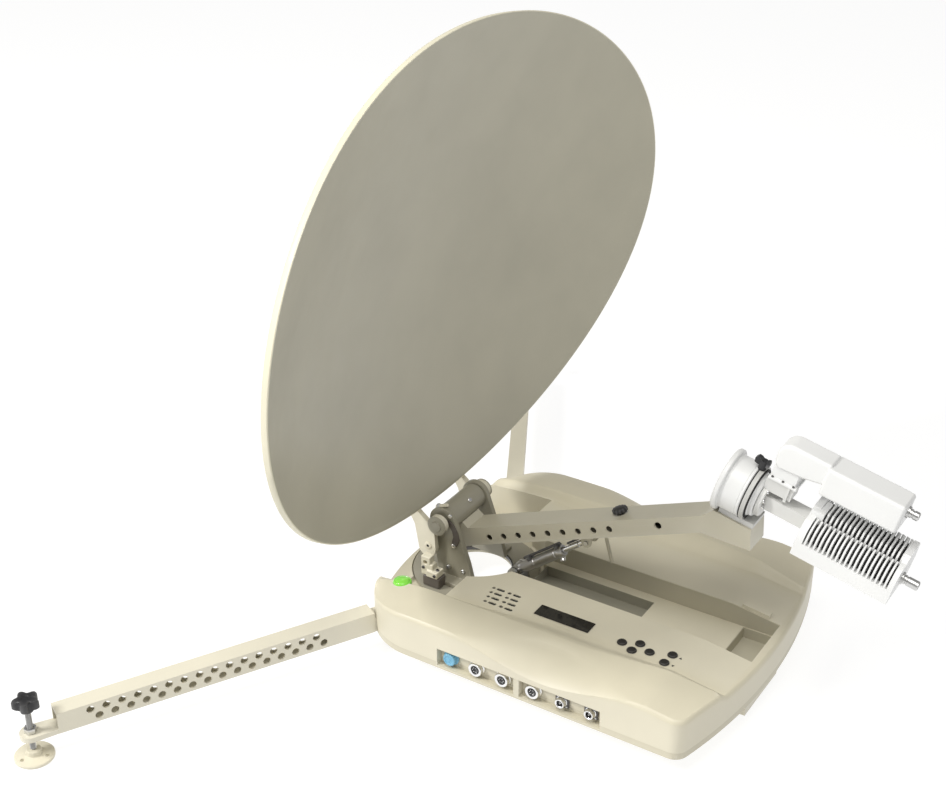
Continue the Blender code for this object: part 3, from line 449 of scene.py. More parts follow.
def houseOutline(v, inset=0.0):
    half = v["halfWidth"]
    sag = v["frontBulge"]
    frontRadius = (half ** 2 + sag ** 2) / (2 * sag)
    front = frontRadius - sag
    fillet = v["frontCorner"]
    filletX = half - fillet
    filletY = front - math.sqrt((frontRadius - fillet) ** 2 - filletX ** 2)
    reach = math.degrees(math.asin(filletX / (frontRadius - fillet)))
    points = arc((0.0, front), frontRadius - inset, -90.0 - reach, -90.0 + reach, 64)
    points += arc((filletX, filletY), fillet - inset, -90.0 + reach, 0.0, 10)[1:]
    cornerX = half - v["corner"]
    cornerY = v["rearY"] - v["corner"]
    for i in range(1, 70):
        points.append((half - inset, filletY + (cornerY - filletY) * i / 70))
    turn = 90.0 - 2 * math.degrees(math.atan(v["rearBulge"] / cornerX))
    beyond = cornerX / math.cos(math.radians(turn))
    centre = (0.0, cornerY - beyond * math.sin(math.radians(turn)))
    radius = v["corner"] - inset
    points += arc((cornerX, cornerY), radius, 0.0, turn, 24)
    points += arc(centre, radius + beyond, turn, 180.0 - turn, 40)[1:-1]
    points += arc((-cornerX, cornerY), radius, 180.0 - turn, 180.0, 24)
    for i in range(1, 70):
        points.append((inset - half, cornerY + (filletY - cornerY) * i / 70))
    points += arc((-filletX, filletY), fillet - inset, 180.0, 270.0 - reach, 10)[:-1]
    return points


def ramp(value, start, end):
    return min(1.0, max(0.0, (value - start) / (end - start)))


def easy(t):
    return t * t * (3.0 - 2.0 * t)


def panelHeight(y):
    return housing["panelZ"] - deck["fall"] * max(0.0, deck["fallFrom"] - y)


def widthAt(v, y):
    turnIn = min(deck["cornerReach"], max(0.0, y - (v["rearY"] - v["corner"])))
    return v["halfWidth"] - v["corner"] + math.sqrt(v["corner"] ** 2 - turnIn ** 2)


# points from the middle of the panel over ridge and edge, down to the wall
def halfSection(v, d, y):
    panelZ = panelHeight(y)
    frontDrop = v["panelZ"] - panelZ
    footX = v["panelHalf"] + (v["bayHalf"] - v["panelHalf"]) * ramp(y, *d["flare"])
    ridgeX = v["ridgeX"] - d["ridgeTurn"] * max(0.0, d["ridgeFrom"] - y)
    rise = v["ridgeRise"] * (1.0 - 0.5 * ramp(-y, *d["ridgeFade"]))
    rearDrop = d["rearDrop"] * ramp(y, *d["rearFall"]) ** 2
    ridgeZ = panelZ + rise - rearDrop
    footZ = panelZ - 0.5 * rearDrop
    points = [(0.0, panelZ), (v["troughHalf"], panelZ), (footX - d["panelEdge"], footZ),
              (footX, footZ)]
    for i in range(1, 9):
        t = i / 8
        lift = 0.75 * easy(t) + 0.25 * t
        points.append((footX + (ridgeX - footX) * t, footZ + (ridgeZ - footZ) * lift))
    reach = abs(y - v["scallopY"]) / v["scallopHalf"]
    bite = math.cos(reach * math.pi / 2) ** 2 if reach < 1.0 else 0.0
    width = widthAt(v, y)
    edgeX = width - d["edgeIn"] - (v["scallopDepth"] - d["edgeIn"]) * bite
    edgeZ = v["edgeZ"] - d["edgeFall"] * frontDrop - rearDrop + d["edgeLift"] * bite
    for i in range(1, 7):
        t = i / 7
        crown = d["crown"] * math.sin(math.pi * t)
        points.append((ridgeX + (edgeX - ridgeX) * t, ridgeZ + (edgeZ - ridgeZ) * t + crown))
    cornerX = width - d["cornerPull"] * v["scallopDepth"] * bite
    cornerZ = edgeZ - d["cornerDrop"] - d["cornerFall"] * bite
    low = (width + d["beyond"], edgeZ - d["rollDrop"] - d["scallopDrop"] * bite)
    for i in range(11):
        t = i / 10
        x = (1 - t) ** 2 * edgeX + 2 * t * (1 - t) * cornerX + t * t * low[0]
        z = (1 - t) ** 2 * edgeZ + 2 * t * (1 - t) * cornerZ + t * t * low[1]
        points.append((x, z))
    points.append((v["halfWidth"] + d["beyond"], v["underZ"]))
    return points


def topHeight(x, y):
    points = halfSection(housing, deck, y)
    for (x0, z0), (x1, z1) in zip(points, points[1:]):
        if x0 <= abs(x) <= x1:
            return z0 + (z1 - z0) * (abs(x) - x0) / max(1e-6, x1 - x0)
    return points[0][1]


# solid inside the outline, its top edge rounded where the deck meets the wall
def roundedWall(v):
    radius = v["edgeRound"]
    inner = houseOutline(v, radius)
    heights = [topHeight(x, y) + 0.2 for x, y in inner]
    sections = [[(x, y, v["wallLow"]) for x, y in houseOutline(v)]]
    for i in range(13):
        a = math.radians(90.0 * i / 12)
        ring = houseOutline(v, radius * (1.0 - math.cos(a)))
        drop = radius * (1.0 - math.sin(a))
        sections.append([(x, y, h - drop) for (x, y), h in zip(ring, heights)])
    sections.append([(x, y, v["cutHigh"]) for x, y in inner])
    return loft("wall", sections)


legs = {
    "rootX": 166.0, "rootY": 459.0, "angle": 28.6, "start": 24.0, "end": 455.0, "screw": 486.0,
    "half": 12.5, "lowZ": 32.0, "topZ": 62.0, "wall": 2.5, "holes": 16, "pitch": 20.3,
    "middle": 251.0, "holeRadius": 5.2, "rows": (53.4, 41.2), "tongueStart": 0.3,
    "tongueHalf": 12.0, "tongueTop": 54.0, "tongueLift": 0.2, "lap": 4.0, "tipRadius": 14.0,
    "tipHalf": 13.6, "tipThick": 7.0, "boreRadius": 4.4, "fit": 0.3, "socketLow": 27.0,
    "socketDeep": 60.0,
}


def legPlace(v, side):
    a = math.radians(v["angle"])
    outward = Vector((side * math.cos(a), math.sin(a), 0.0))
    matrix = Matrix.Identity(4)
    matrix.col[0] = (*outward, 0.0)
    matrix.col[1] = (-outward.y, outward.x, 0.0, 0.0)
    matrix.col[3] = (side * v["rootX"] * mm, v["rootY"] * mm, 0.0, 1.0)
    return matrix


# rows are the top ends of four columns, dashes are start and length down each of them
vents = {
    "rows": ((-92.0, 337.0), (-102.5, 335.0), (-113.0, 333.0), (-124.0, 331.0)),
    "dashes": ((0.0, 5.0), (7.0, 12.5), (24.0, 6.0), (32.0, 12.5)), "width": 4.8,
    "cut": (86.0, 100.0), "depth": 1.4, "floorHalf": 2.5, "floorThick": 1.5, "floorGap": 0.1,
}


def ventCutters(v):
    tools = []
    half = v["width"] / 2
    for x, y in v["rows"]:
        for start, length in v["dashes"]:
            low = y - start - length
            slot = arc((x, low + half), half, 180, 360, 6)
            slot += arc((x, low + length - half), half, 0, 180, 6)
            tools.append(prism("vent", slot, *v["cut"]))
    return joinMeshes("vents", tools)


def makeCover(v, steps, level):
    sections = []
    for i in range(steps["count"]):
        y = steps["first"] + steps["pitch"] * i
        half = halfSection(v, deck, y)
        right = [(x, y, z) for x, z in half]
        left = [(-x, y, z) for x, z in reversed(half[1:])]
        sections.append(right + left)
    cover = loft("coverShell", sections, "ivoryShell")
    boolean(cover, [roundedWall(v)], "INTERSECT")
    front, half, edge, lip = v["troughFront"], v["troughHalf"], -v["halfWidth"], v["lip"]
    low, high, pocketTop = v["cutLow"], v["cutHigh"], v["pocketCut"]
    x, y = level["x"], level["y"]
    seat = topHeight(x, y) - level["seat"]
    tools = [
        cylinder("well", (0, v["turnY"], low), (0, v["turnY"], high), v["wellRadius"], 96),
        block("bay", (-v["bayHalf"], v["bayFront"], low), (v["bayHalf"], v["bayRear"], high)),
        block("trough", (-half, front, v["troughFloor"]), (half, v["turnY"], high)),
        block("pocket", (-v["pocketHalf"], v["pocketFront"], v["pocketFloor"]),
              (v["pocketHalf"], v["turnY"], pocketTop)),
        block("frontRecess", (lip - half, front + lip, v["pocketFloor"]),
              (half - lip, v["dipRear"], pocketTop)),
        block("sideRecess", (edge - 10, v["recessFront"], low),
              (edge + v["recessDepth"], v["recessRear"], v["recessTop"])),
        cylinder("levelSeat", (x, y, seat), (x, y, high), level["radius"] + level["gap"], 48),
    ]
    socketHalf, socketTop = legs["tongueHalf"] + legs["fit"], legs["tongueTop"] + legs["fit"]
    socketLow = (0, -socketHalf, legs["socketLow"])
    socketHigh = (legs["socketDeep"], socketHalf, socketTop)
    tools += [block("socket", socketLow, socketHigh, legPlace(legs, side)) for side in (-1, 1)]
    boolean(cover, tools)
    boolean(cover, [ventCutters(vents)])
    soften(cover, 0.9, 2, 42.0, 15.0)
    return place(cover, "base", "ivory_moulding", "top_cover")


def makeTray(v):
    tray = bpy.data.objects.new("trayShell", nodes["base_tray"].data.copy())
    bpy.context.scene.collection.objects.link(tray)
    tray.data.materials.clear()
    # the darker tray colour is partly its own tone and partly painted shade of the lower walls
    paint(tray, "trayToneAndShade")
    outline = prism("outline", houseOutline(v, v["trayInset"]), v["trayLow"], v["trayHigh"])
    boolean(tray, [outline], "INTERSECT")
    soften(tray, 0.5)
    place(tray, "base", "ivory_moulding", "base_tray")


# thin linings of painted shade in the pocket, the front recess and on the trough's far wall, a
# tenth of a millimetre clear of the faces that they cover
shadeLinings = {
    "gap": 0.1, "rear": 322.0, "pocketTop": 60.7, "pocketThick": 0.7, "dipTop": 60.8,
    "dipThick": 0.8, "wallStart": 0.4, "wallThick": 0.6, "wallDrop": 0.8, "open": 80.0,
}


def openBox(name, low, high, thick, material):
    box = block(name, low, high, flat, material)
    innerHigh = (high[0] - thick, high[1] - thick, shadeLinings["open"])
    boolean(box, [block("i", [c + thick for c in low], innerHigh)])
    return soften(box, 0.2, 1)


def makeShadeLinings(v, house):
    gap, rear = v["gap"], v["rear"]
    floor = house["pocketFloor"] + gap
    width, front = house["pocketHalf"] - gap, house["pocketFront"] + gap
    pocket = openBox("pocketShadeLining", (-width, front, floor), (width, rear, v["pocketTop"]),
                     v["pocketThick"], "pocketShade")
    place(pocket, "base", "olive_paint")
    half, front = house["troughHalf"], house["troughFront"]
    inset = house["lip"] + gap
    dip = openBox("recessShadeLining", (inset - half, front + inset, floor),
                  (half - inset, house["dipRear"] - gap, v["dipTop"]), v["dipThick"], "recessShade")
    place(dip, "base", "ivory_moulding")
    start, low, outer = front + v["wallStart"], house["troughFloor"] + gap, half - gap
    side = [(start, low), (rear, low)]
    side += [(y, panelHeight(y) - v["wallDrop"]) for y in (rear, deck["fallFrom"], start)]
    wall = prism("troughShadeLining", side, outer - v["wallThick"], outer, sideways, "recessShade")
    soften(wall, 0.2, 1)
    place(wall, "base", "ivory_moulding")


# near-black slabs a little under each vent slot, painted shadow at the bottom of the slots
def makeVentShadowFloors(v):
    floors = []
    half, gap = v["floorHalf"], v["floorGap"]
    for x, y in v["rows"]:
        for start, length in v["dashes"]:
            top = panelHeight(y) - v["depth"]
            floors.append(block("f", (x - half, y - start - length + gap, top - v["floorThick"]),
                                (x + half, y - start - gap, top)))
    floor = joinMeshes("ventShadowFloors", floors)
    paint(floor, "finShadow")
    place(floor, "base", "black_plastic")


makeCover(housing, stations, levelButton)
makeTray(housing)
makeShadeLinings(shadeLinings, housing)
makeVentShadowFloors(vents)
dress("front_foot", "creamPaint", 1.5)
dress("trough_latch", "ivoryShell", 1.2, 3)
print("housing made")

# controls on the near panel

controls = {
    "display": (-104.0, 219.5, 11.0, 40.0), "lift": 0.3, "paneThick": 1.6, "buttonRadius": 6.4,
    "buttons": ((-109.0, 133.0), (-99.6, 112.0), (-117.4, 115.0), (-109.0, 94.0), (-98.7, 67.0),
                (-118.3, 69.0)),
    "arrows": ((-98.7, 55.5, 0.0), (-118.3, 57.5, 180.0)),
    "arrow": ((-1.8, -2.0), (1.8, 0.0), (-1.8, 2.0)), "ink": (0.05, 0.35),
}


def makeControls(v):
    x, y, halfX, halfY = v["display"]
    low = panelHeight(y) + v["lift"]
    high = low + v["paneThick"]
    window = block("displayPane", (x - halfX, y - halfY, low), (x + halfX, y + halfY, high), flat,
                   "displayGlass")
    soften(window, 0.5, 2)
    place(window, "base", "display_black", "display_window")
    r = v["buttonRadius"]
    profile = [(0, 0), (r + 0.2, 0), (r + 0.2, 0.7), (r - 0.3, 1.0), (r - 0.4, 1.9), (r - 1.0, 2.4),
               (r - 2.2, 2.5), (r - 2.8, 2.25), (0, 2.1)]
    for i, (bx, by) in enumerate(v["buttons"]):
        where = axisPlace((bx, by, panelHeight(by) + v["lift"]), (0, 0, 1))
        button = lathe("buttonTop%d" % (i + 1), profile, where, 40, "buttonRubber")
        place(button, "base", "black_plastic", "button_%d" % (i + 1))
    for i, (ax, ay, turn) in enumerate(v["arrows"]):
        turned = Matrix.Rotation(math.radians(turn), 4, "Z")
        where = axisPlace((ax, ay, panelHeight(ay)), (0, 0, 1)) @ turned
        mark = prism("arrowMark%d" % (i + 1), v["arrow"], *v["ink"], where, "markInk")
        place(mark, "base", "black_plastic")


def makeLevel(v):
    z = topHeight(v["x"], v["y"]) - v["sunk"]
    r = v["radius"]
    profile = [(0, 0), (r, 0), (r, 3.6), (r - 0.7, 4.6), (r - 2.0, 5.0), (r - 2.4, 4.6),
               (r - 2.8, 5.2), (r - 5.0, 6.1), (0, 6.5)]
    where = axisPlace((v["x"], v["y"], z), (0, 0, 1))
    level = lathe("levelBubble", profile, where, 64, "levelGreen")
    return place(level, "base", "level_green", "level_button")


makeControls(controls)
makeLevel(levelButton)
print("controls made")

# connectors in the side recess: a capped one, three round sockets and two coaxial ones

connectors = {
    "wallX": -203.3, "z": 50.0, "y": (329.0, 289.5, 250.0, 205.0, 164.5, 123.5), "pins": 6,
    "pinCircle": 3.2, "pinRadius": 0.55, "pinFrom": 6.9, "pinTo": 8.2, "flangeHalf": 9.5,
    "flangeThick": 2.5, "screwAt": 6.8, "flutes": 18, "fluteDepth": 0.35, "fluteRadius": 8.0,
    "fluteHeight": 3.5,
    "cap": ((0, 0), (11, 0), (11, 2.2), (10.2, 3.0), (9.0, 3.2), (8.8, 3.8), (8.8, 8.2), (8.0, 9.0),
            (6.4, 9.0), (5.8, 8.2), (2.4, 8.2), (2.0, 8.8), (0, 8.8)),
    "ring": ((0, 0), (11, 0), (11, 2.0), (10.4, 2.8), (9.9, 3.0), (9.9, 8.0), (9.3, 8.9),
             (7.4, 8.9), (6.2, 8.2), (5.9, 4.2), (0, 4.2)),
    "core": ((0, 4.25), (5.8, 4.25), (5.8, 6.4), (5.0, 6.7), (0, 6.7)),
    "tube": ((4.2, 2.6), (7.6, 2.6), (7.6, 3.4), (6.9, 3.8), (6.9, 8.6), (6.2, 9.9), (4.9, 9.9),
             (4.2, 9.2), (4.2, 2.6)),
    "screw": ((0, 2.6), (1.4, 2.6), (1.4, 3.1), (1.0, 3.4), (0, 3.5)),
    "wire": ((0, 2.6), (1.6, 2.6), (1.6, 7.0), (0.8, 7.6), (0.8, 9.0), (0, 9.0)),
}


def makeBlueCap(v, where, name):
    def fluted(a, r, h):
        grip = r > v["fluteRadius"] and h > v["fluteHeight"]
        return v["fluteDepth"] * math.cos(v["flutes"] * a) if grip else 0.0

    cap = lathe("capBlue", v["cap"], where, 108, "blueCap", fluted)
    place(cap, "base", "blue_cap", name)


def makeSocket(v, y, number, where, name):
    shell = lathe("socketRing%d" % number, v["ring"], where, 64, "chromeRing")
    place(shell, "base", "chrome_metal", name)
    insert = lathe("socketCore%d" % number, v["core"], where, 40, "blackKnob")
    place(insert, "base", "black_plastic")
    pins = []
    start, end = v["wallX"] - v["pinFrom"], v["wallX"] - v["pinTo"]
    for k in range(v["pins"]):
        a = 2 * math.pi * k / v["pins"]
        py = y + v["pinCircle"] * math.cos(a)
        pz = v["z"] + v["pinCircle"] * math.sin(a)
        pins.append(cylinder("pin", (start, py, pz), (end, py, pz), v["pinRadius"], 10))
    pinSet = smooth(joinMeshes("socketPins%d" % number, pins))
    paint(pinSet, "chromeRing")
    place(pinSet, "base", "chrome_metal")


def makeCoax(v, y, number, where, name):
    half, x, z = v["flangeHalf"], v["wallX"], v["z"]
    low, high = (x - v["flangeThick"], y - half, z - half), (x, y + half, z + half)
    plate = block("coaxFlange%d" % number, low, high, flat, "darkPlate")
    soften(plate, 0.4, 2)
    place(plate, "base", "chrome_metal", name)
    barrel = lathe("coaxBarrel%d" % number, v["tube"], where, 40, "chromeRing")
    place(barrel, "base", "chrome_metal")
    small = []
    for dy in (-v["screwAt"], v["screwAt"]):
        for dz in (-v["screwAt"], v["screwAt"]):
            screwPlace = axisPlace((x, y + dy, z + dz), (-1, 0, 0))
            small.append(lathe("s", v["screw"], screwPlace, 16))
    small.append(lathe("c", v["wire"], where, 24))
    screws = smooth(joinMeshes("coaxScrews%d" % number, small))
    paint(screws, "brushedSteel")
    place(screws, "base", "silver_metal")


def makeConnectors(v):
    for i, y in enumerate(v["y"]):
        where = axisPlace((v["wallX"], y, v["z"]), (-1, 0, 0))
        name = "connector_%d" % (i + 1)
        if i == 0:
            makeBlueCap(v, where, name)
        elif i < 4:
            makeSocket(v, y, i, where, name)
        else:
            makeCoax(v, y, i - 3, where, name)


makeConnectors(connectors)
print("connectors made")

# legs and levelling feet

feet = {
    "disc": ((0, 0), (24.2, 0), (25, 0.8), (25, 3.2), (24.2, 4.2), (22, 4.8), (12.5, 5.4),
             (10.6, 6.2), (9.8, 8), (9.4, 12), (8.6, 12.9), (0, 13.0)),
    "discHoles": 3, "holeCircle": 17.6, "holeRadius": 2.6, "firstHole": 50, "threadPitch": 1.75,
    "threadLow": 14.2, "threadHigh": 73.5, "crest": 4.0, "root": 3.45,
    "knob": ((0, 76.6), (4.3, 76.6), (4.3, 72), (8.0, 72), (8.4, 76), (13.6, 78), (14.5, 79.5),
             (14.5, 87.5), (13.4, 90.0), (10.5, 91.0), (5.0, 90.6), (4.4, 90.0), (0, 90.0)),
    "knobLobes": 5, "lobeDepth": 3.0, "lobeFrom": (9.0, 14.0), "lobeRise": (76.0, 78.5),
}


def makeLeg(v, side, label):
    where = legPlace(v, side)
    upright = where @ Matrix(((1, 0, 0, 0), (0, 0, -1, 0), (0, 1, 0, 0), (0, 0, 0, 1)))
    half, wall, low, top = v["half"], v["wall"], v["lowZ"], v["topZ"]
    start, end, screw, lap = v["start"], v["end"], v["screw"], v["lap"]
    tongueHalf, tipHalf = v["tongueHalf"], v["tipHalf"]
    inner = half - wall
    leg = block("legTube_" + label, (start, -half, low), (end, half, top), where, "creamPaint")
    tongue = block("t", (v["tongueStart"], -tongueHalf, low + v["tongueLift"]),
                   (start + lap, tongueHalf, v["tongueTop"]), where)
    tip = [(end - lap, -tongueHalf), (screw - lap, -tipHalf)]
    tip += arc((screw, 0), v["tipRadius"], -80, 80, 24)
    tip += [(screw - lap, tipHalf), (end - lap, tongueHalf)]
    boolean(leg, [block("h", (start - 5, -inner, low + wall), (end + 5, inner, top - wall), where)])
    boolean(leg, [tongue, prism("tip", tip, low, low + v["tipThick"], where)], "UNION")
    screwAt = where @ Vector((screw * mm, 0, 0))
    x, y = screwAt.x / mm, screwAt.y / mm
    holes = []
    span = v["pitch"] * (v["holes"] - 1)
    for row, z in enumerate(v["rows"]):
        for i in range(v["holes"]):
            reach = v["middle"] - span / 2 + v["pitch"] * i + (0 if row else v["pitch"] / 2)
            ring = arc((reach, z), v["holeRadius"], 0, 345, 23)
            holes.append(prism("hole", ring, -half - 5, half + 5, upright))
    bore = cylinder("bore", (x, y, low - 5), (x, y, low + 15), v["boreRadius"], 32)
    boolean(leg, [joinMeshes("holes", holes), bore])
    soften(leg, 0.7, 2, 42.0, 30.0)
    place(leg, "base", "cream_paint", "leg_" + label)
    makeFoot(feet, x, y, label)


def makeFoot(v, x, y, label):
    up = axisPlace((x, y, 0), (0, 0, 1))
    body = "foot_" + label
    disc = lathe("footDisc_" + label, v["disc"], up, 72, "creamPaint")
    holes = []
    for k in range(v["discHoles"]):
        a = math.radians(v["firstHole"] + 360 / v["discHoles"] * k)
        px, py = x + v["holeCircle"] * math.cos(a), y + v["holeCircle"] * math.sin(a)
        holes.append(cylinder("h", (px, py, -2), (px, py, 12), v["holeRadius"], 20))
    boolean(disc, holes)
    smooth(disc, 30)
    place(disc, body, "cream_paint", "foot_disc_" + label)
    thread = [(0, 13.3), (3.6, 13.3)]
    z = v["threadLow"]
    while z < v["threadHigh"]:
        thread += [(v["crest"], z), (v["root"], z + v["threadPitch"] / 2)]
        z += v["threadPitch"]
    thread += [(3.6, 74.5), (0, 76)]
    screw = lathe("footScrew_" + label, thread, up, 24, "brushedSteel")
    place(screw, body, "silver_metal", "foot_screw_" + label)

    def star(a, r, h):
        depth = v["lobeDepth"] * ramp(r, *v["lobeFrom"]) * ramp(h, *v["lobeRise"])
        return depth * math.cos(v["knobLobes"] * a)

    knob = lathe("starKnob_" + label, v["knob"], up, 80, "blackKnob", star)
    place(knob, body, "black_plastic", "star_knob_" + label)


for legSide, legLabel in ((-1, "near"), (1, "far")):
    makeLeg(legs, legSide, legLabel)
    dress("leg_nut_" + legLabel, "brushedSteel", 0.5)
print("legs and feet made")

# turntable, yoke and actuator

tilt = {"y": 447.0, "z": 133.0}


def boltHead(start, direction, radius=3.2, height=2.2, socket=True):
    profile = [(0, 0), (radius, 0), (radius, height * 0.7), (radius * 0.8, height)]
    if socket:
        profile += [(radius * 0.5, height), (radius * 0.5, height * 0.3), (0, height * 0.3)]
    else:
        profile += [(0, height * 1.1)]
    return lathe("bolt", profile, axisPlace(start, direction), 20)


def boltSet(name, heads, body, material="brushedSteel", slot="silver_metal"):
    bolts = smooth(joinMeshes(name, heads))
    paint(bolts, material)
    return place(bolts, body, slot)


yoke = {
    "inner": 38.0, "thick": 8.0, "ringTop": 43.3, "headRadius": 21.0, "boreRadius": 7.3,
    "heel": ((404, 75), (396, 43.3), (452, 43.3)), "footX": (44, 64), "footY": (400, 448),
    "footTop": 49.0, "sideBolts": ((413, 62), (437, 62)), "footBoltX": 56, "footBoltY": (409, 439),
    "footBoltRadius": 3.4, "boreReach": (30, 60),
}


def makeYoke(v):
    y, z = tilt["y"], tilt["z"]
    outer = v["inner"] + v["thick"]
    for side, label in ((-1, "near"), (1, "far")):
        outline = arc((y, z), v["headRadius"], -15, 165, 36) + list(v["heel"])
        low, high = sorted((side * v["inner"], side * outer))
        plate = prism("yokePlate_" + label, outline, low, high, sideways, "olivePaint")
        (lowX, highX), (lowY, highY) = sorted(side * x for x in v["footX"]), v["footY"]
        foot = block("f", (lowX, lowY, v["ringTop"]), (highX, highY, v["footTop"]))
        boolean(plate, [foot], "UNION")
        start, end = [(side * x, y, z) for x in v["boreReach"]]
        boolean(plate, [cylinder("bore", start, end, v["boreRadius"], 40)])
        soften(plate, 0.9, 2)
        place(plate, "turntable", "olive_paint", "yoke_" + label)
        heads = [boltHead((side * outer, by, bz), (side, 0, 0)) for by, bz in v["sideBolts"]]
        feetAt = [(side * v["footBoltX"], by, v["footTop"]) for by in v["footBoltY"]]
        heads += [boltHead(at, (0, 0, 1), v["footBoltRadius"]) for at in feetAt]
        boltSet("yokeBolts_" + label, heads, "turntable")


# small fittings that turn with the yoke, most of them at its near plate
fittings = {
    "slotOutline": ((440, 137), (434, 140), (427, 134), (420, 123), (418, 112), (421, 103), (426, 98),
              (431, 101), (430, 108), (428, 115), (430, 123), (435, 131)),
    "slotSpanX": (-48.4, -46.2), "slotScrews": (((-46.2, 434, 146), 2.4), ((-48.2, 427, 101), 2.0)),
    "slotScrewRadius": 3.4, "hinge": ((-78, 443, 60), (-66, 462, 90)),
    "hingeStep": ((-81, 434, 60), (-63, 452, 70)), "hingeNotch": ((-90, 438, 79), (-60, 447, 95)),
    "hingeBore": ((-90, 455, 80), (-60, 455, 80), 3.0),
    "hingeGapShadow": ((-79, 432, 43.3), (-61, 459, 59.6)),
    "sideScrews": ((-78, 458, 72), (-81, 438, 65)), "sideScrewSize": (2.4, 1.4),
    "topScrew": (-73, 438, 70), "topScrewSize": (2.6, 1.6),
    "lever": ((-42, 459, 151.5), (-42, 440, 160), 2.4), "stemFoot": (-42, 455, 148.5),
    "stem": ((0, 0), (3.2, 0), (3.2, 7), (2.4, 8), (0, 8)),
    "ringLiner": ((50.4, 38.2), (51.8, 38.2), (51.8, 43.0), (51.4, 43.4), (50.8, 43.4),
                  (50.4, 43.0), (50.4, 38.2)),
}


def makeYokeFittings(v):
    # a dark piece fills the kidney slot in the near plate, painted shadow of the open slot
    slotShadowPiece = prism("yokeSlotShadow", v["slotOutline"], *v["slotSpanX"], sideways, "darkSlot")
    soften(slotShadowPiece, 0.8, 3, 25, 40)
    place(slotShadowPiece, "turntable", "black_plastic")
    outward, upward = (-1, 0, 0), (0, 0, 1)
    heads = [boltHead(at, outward, v["slotScrewRadius"], high, False) for at, high in v["slotScrews"]]
    boltSet("slotScrews", heads, "turntable", "chromeRing", "chrome_metal")
    hinge = block("hingeBlock", *v["hinge"], flat, "creamPaint")
    boolean(hinge, [block("s", *v["hingeStep"])], "UNION")
    boolean(hinge, [cylinder("b", *v["hingeBore"], 24), block("n", *v["hingeNotch"])])
    soften(hinge, 1.6, 3)
    place(hinge, "turntable", "cream_paint")
    # a dark block under the hinge block, painted shadow of the gap beneath it
    foot = block("hingeGapShadow", *v["hingeGapShadow"], flat, "darkSlot")
    soften(foot, 2.0, 3)
    place(foot, "turntable", "black_plastic")
    heads = [boltHead(at, outward, *v["sideScrewSize"]) for at in v["sideScrews"]]
    heads.append(boltHead(v["topScrew"], upward, *v["topScrewSize"]))
    boltSet("hingeScrews", heads, "turntable", "darkPlate", "silver_metal")
    lever = cylinder("tiltLever", *v["lever"], 24, "creamPaint")
    soften(lever, 0.8, 2)
    place(lever, "turntable", "cream_paint")
    stem = lathe("leverStem", v["stem"], axisPlace(v["stemFoot"], upward), 24, "castGrey")
    place(stem, "turntable", "silver_metal")
    centre = Matrix.Translation((0, housing["turnY"] * mm, 0))
    liner = lathe("turntableLiner", v["ringLiner"], centre, 96, "darkPlate")
    place(liner, "turntable", "black_plastic")


# caps and screws at the tilt shaft, washers where the dish's struts are bolted on, and a near-black
# disc in each washer's hole as painted shadow
shaftTrim = {
    "capX": 59.6, "strutX": 59.5, "strutY": 462, "strutZ": 96, "tubeScrew": (4, 434.4, 145.6),
    "tubeScrewAxis": (0, -0.707, 0.707), "tubeScrewSize": (3.4, 2.4),
    "cap": ((0, 0), (14.0, 0), (14.4, 0.3), (14.4, 1.4), (13.4, 2.0), (8.0, 2.0), (7.2, 3.6),
            (0, 3.8)),
    "washer": ((2.2, 0), (5.4, 0), (5.6, 0.3), (5.6, 0.9), (5.0, 1.3), (2.2, 1.3), (2.2, 0)),
    "hole": ((0, 0.05), (2.3, 0.05), (2.3, 0.9), (0, 0.7)),
}


def makeShaftTrim(v):
    for side, label in ((-1, "near"), (1, "far")):
        capAt = axisPlace((side * v["capX"], tilt["y"], tilt["z"]), (side, 0, 0))
        cap = lathe("shaftCap_" + label, v["cap"], capAt, 56, "olivePaint")
        place(cap, "antenna", "olive_paint")
        strutAt = axisPlace((side * v["strutX"], v["strutY"], v["strutZ"]), (side, 0, 0))
        ring = lathe("strutWasher_" + label, v["washer"], strutAt, 32, "creamPaint")
        place(ring, "antenna", "cream_paint")
        hole = lathe("strutHoleShadow_" + label, v["hole"], strutAt, 24, "finShadow")
        place(hole, "antenna", "black_plastic")
    heads = [boltHead(v["tubeScrew"], v["tubeScrewAxis"], *v["tubeScrewSize"], False)]
    boltSet("tubeScrews", heads, "antenna", "chromeRing", "chrome_metal")


makeYoke(yoke)
makeYokeFittings(fittings)
makeShaftTrim(shaftTrim)
dress("turntable_ring", "olivePaint", 0.8)
dress("actuator_bracket", "brushedSteel", 0.5)
dress("actuator_pin", "brushedSteel", 0.4)
dress("cross_tube", "olivePaint", 1.0, 3)
dress("tilt_shaft", "olivePaint", 0.8)
dress("boom_lug_pin", "brushedSteel", 0.4)

# lengths along the actuator count from its lower pivot
# rail, clips and slide are each start, end, offset and radius
actuator = {
    "low": (0.0, 352.0, 62.0), "high": (0.0, 241.0, 150.0), "up": (0, 0.621, 0.784),
    "barrel": ((5.0, 14), (0, 14), (0, 6), (6.8, 6), (7.4, 7), (7.4, 15), (8.5, 16), (8.5, 38),
               (7.9, 38.6), (7.9, 40.4), (8.5, 41), (8.5, 78), (7.7, 79), (7.7, 81), (8.5, 82),
               (8.5, 90.6), (7.6, 92), (5.0, 92), (5.0, 14)),
    "eye": ((3.3, -9), (8, -9), (8, 9), (3.3, 9), (3.3, -9)),
    "rail": (22, 92, 11.2, 2.0), "clips": ((30, 35, 7, 6.4), (84, 89, 7, 6.4)),
    "slide": (104, 131, 6.6, 1.6), "nubAt": 84, "nubDrop": 7.5, "nubAxis": (-0.5, -0.45, -0.74),
    "nub": ((0, 0), (3.6, 0), (4.0, 0.6), (4.0, 6.0), (3.0, 7.0), (0, 7.2)),
}


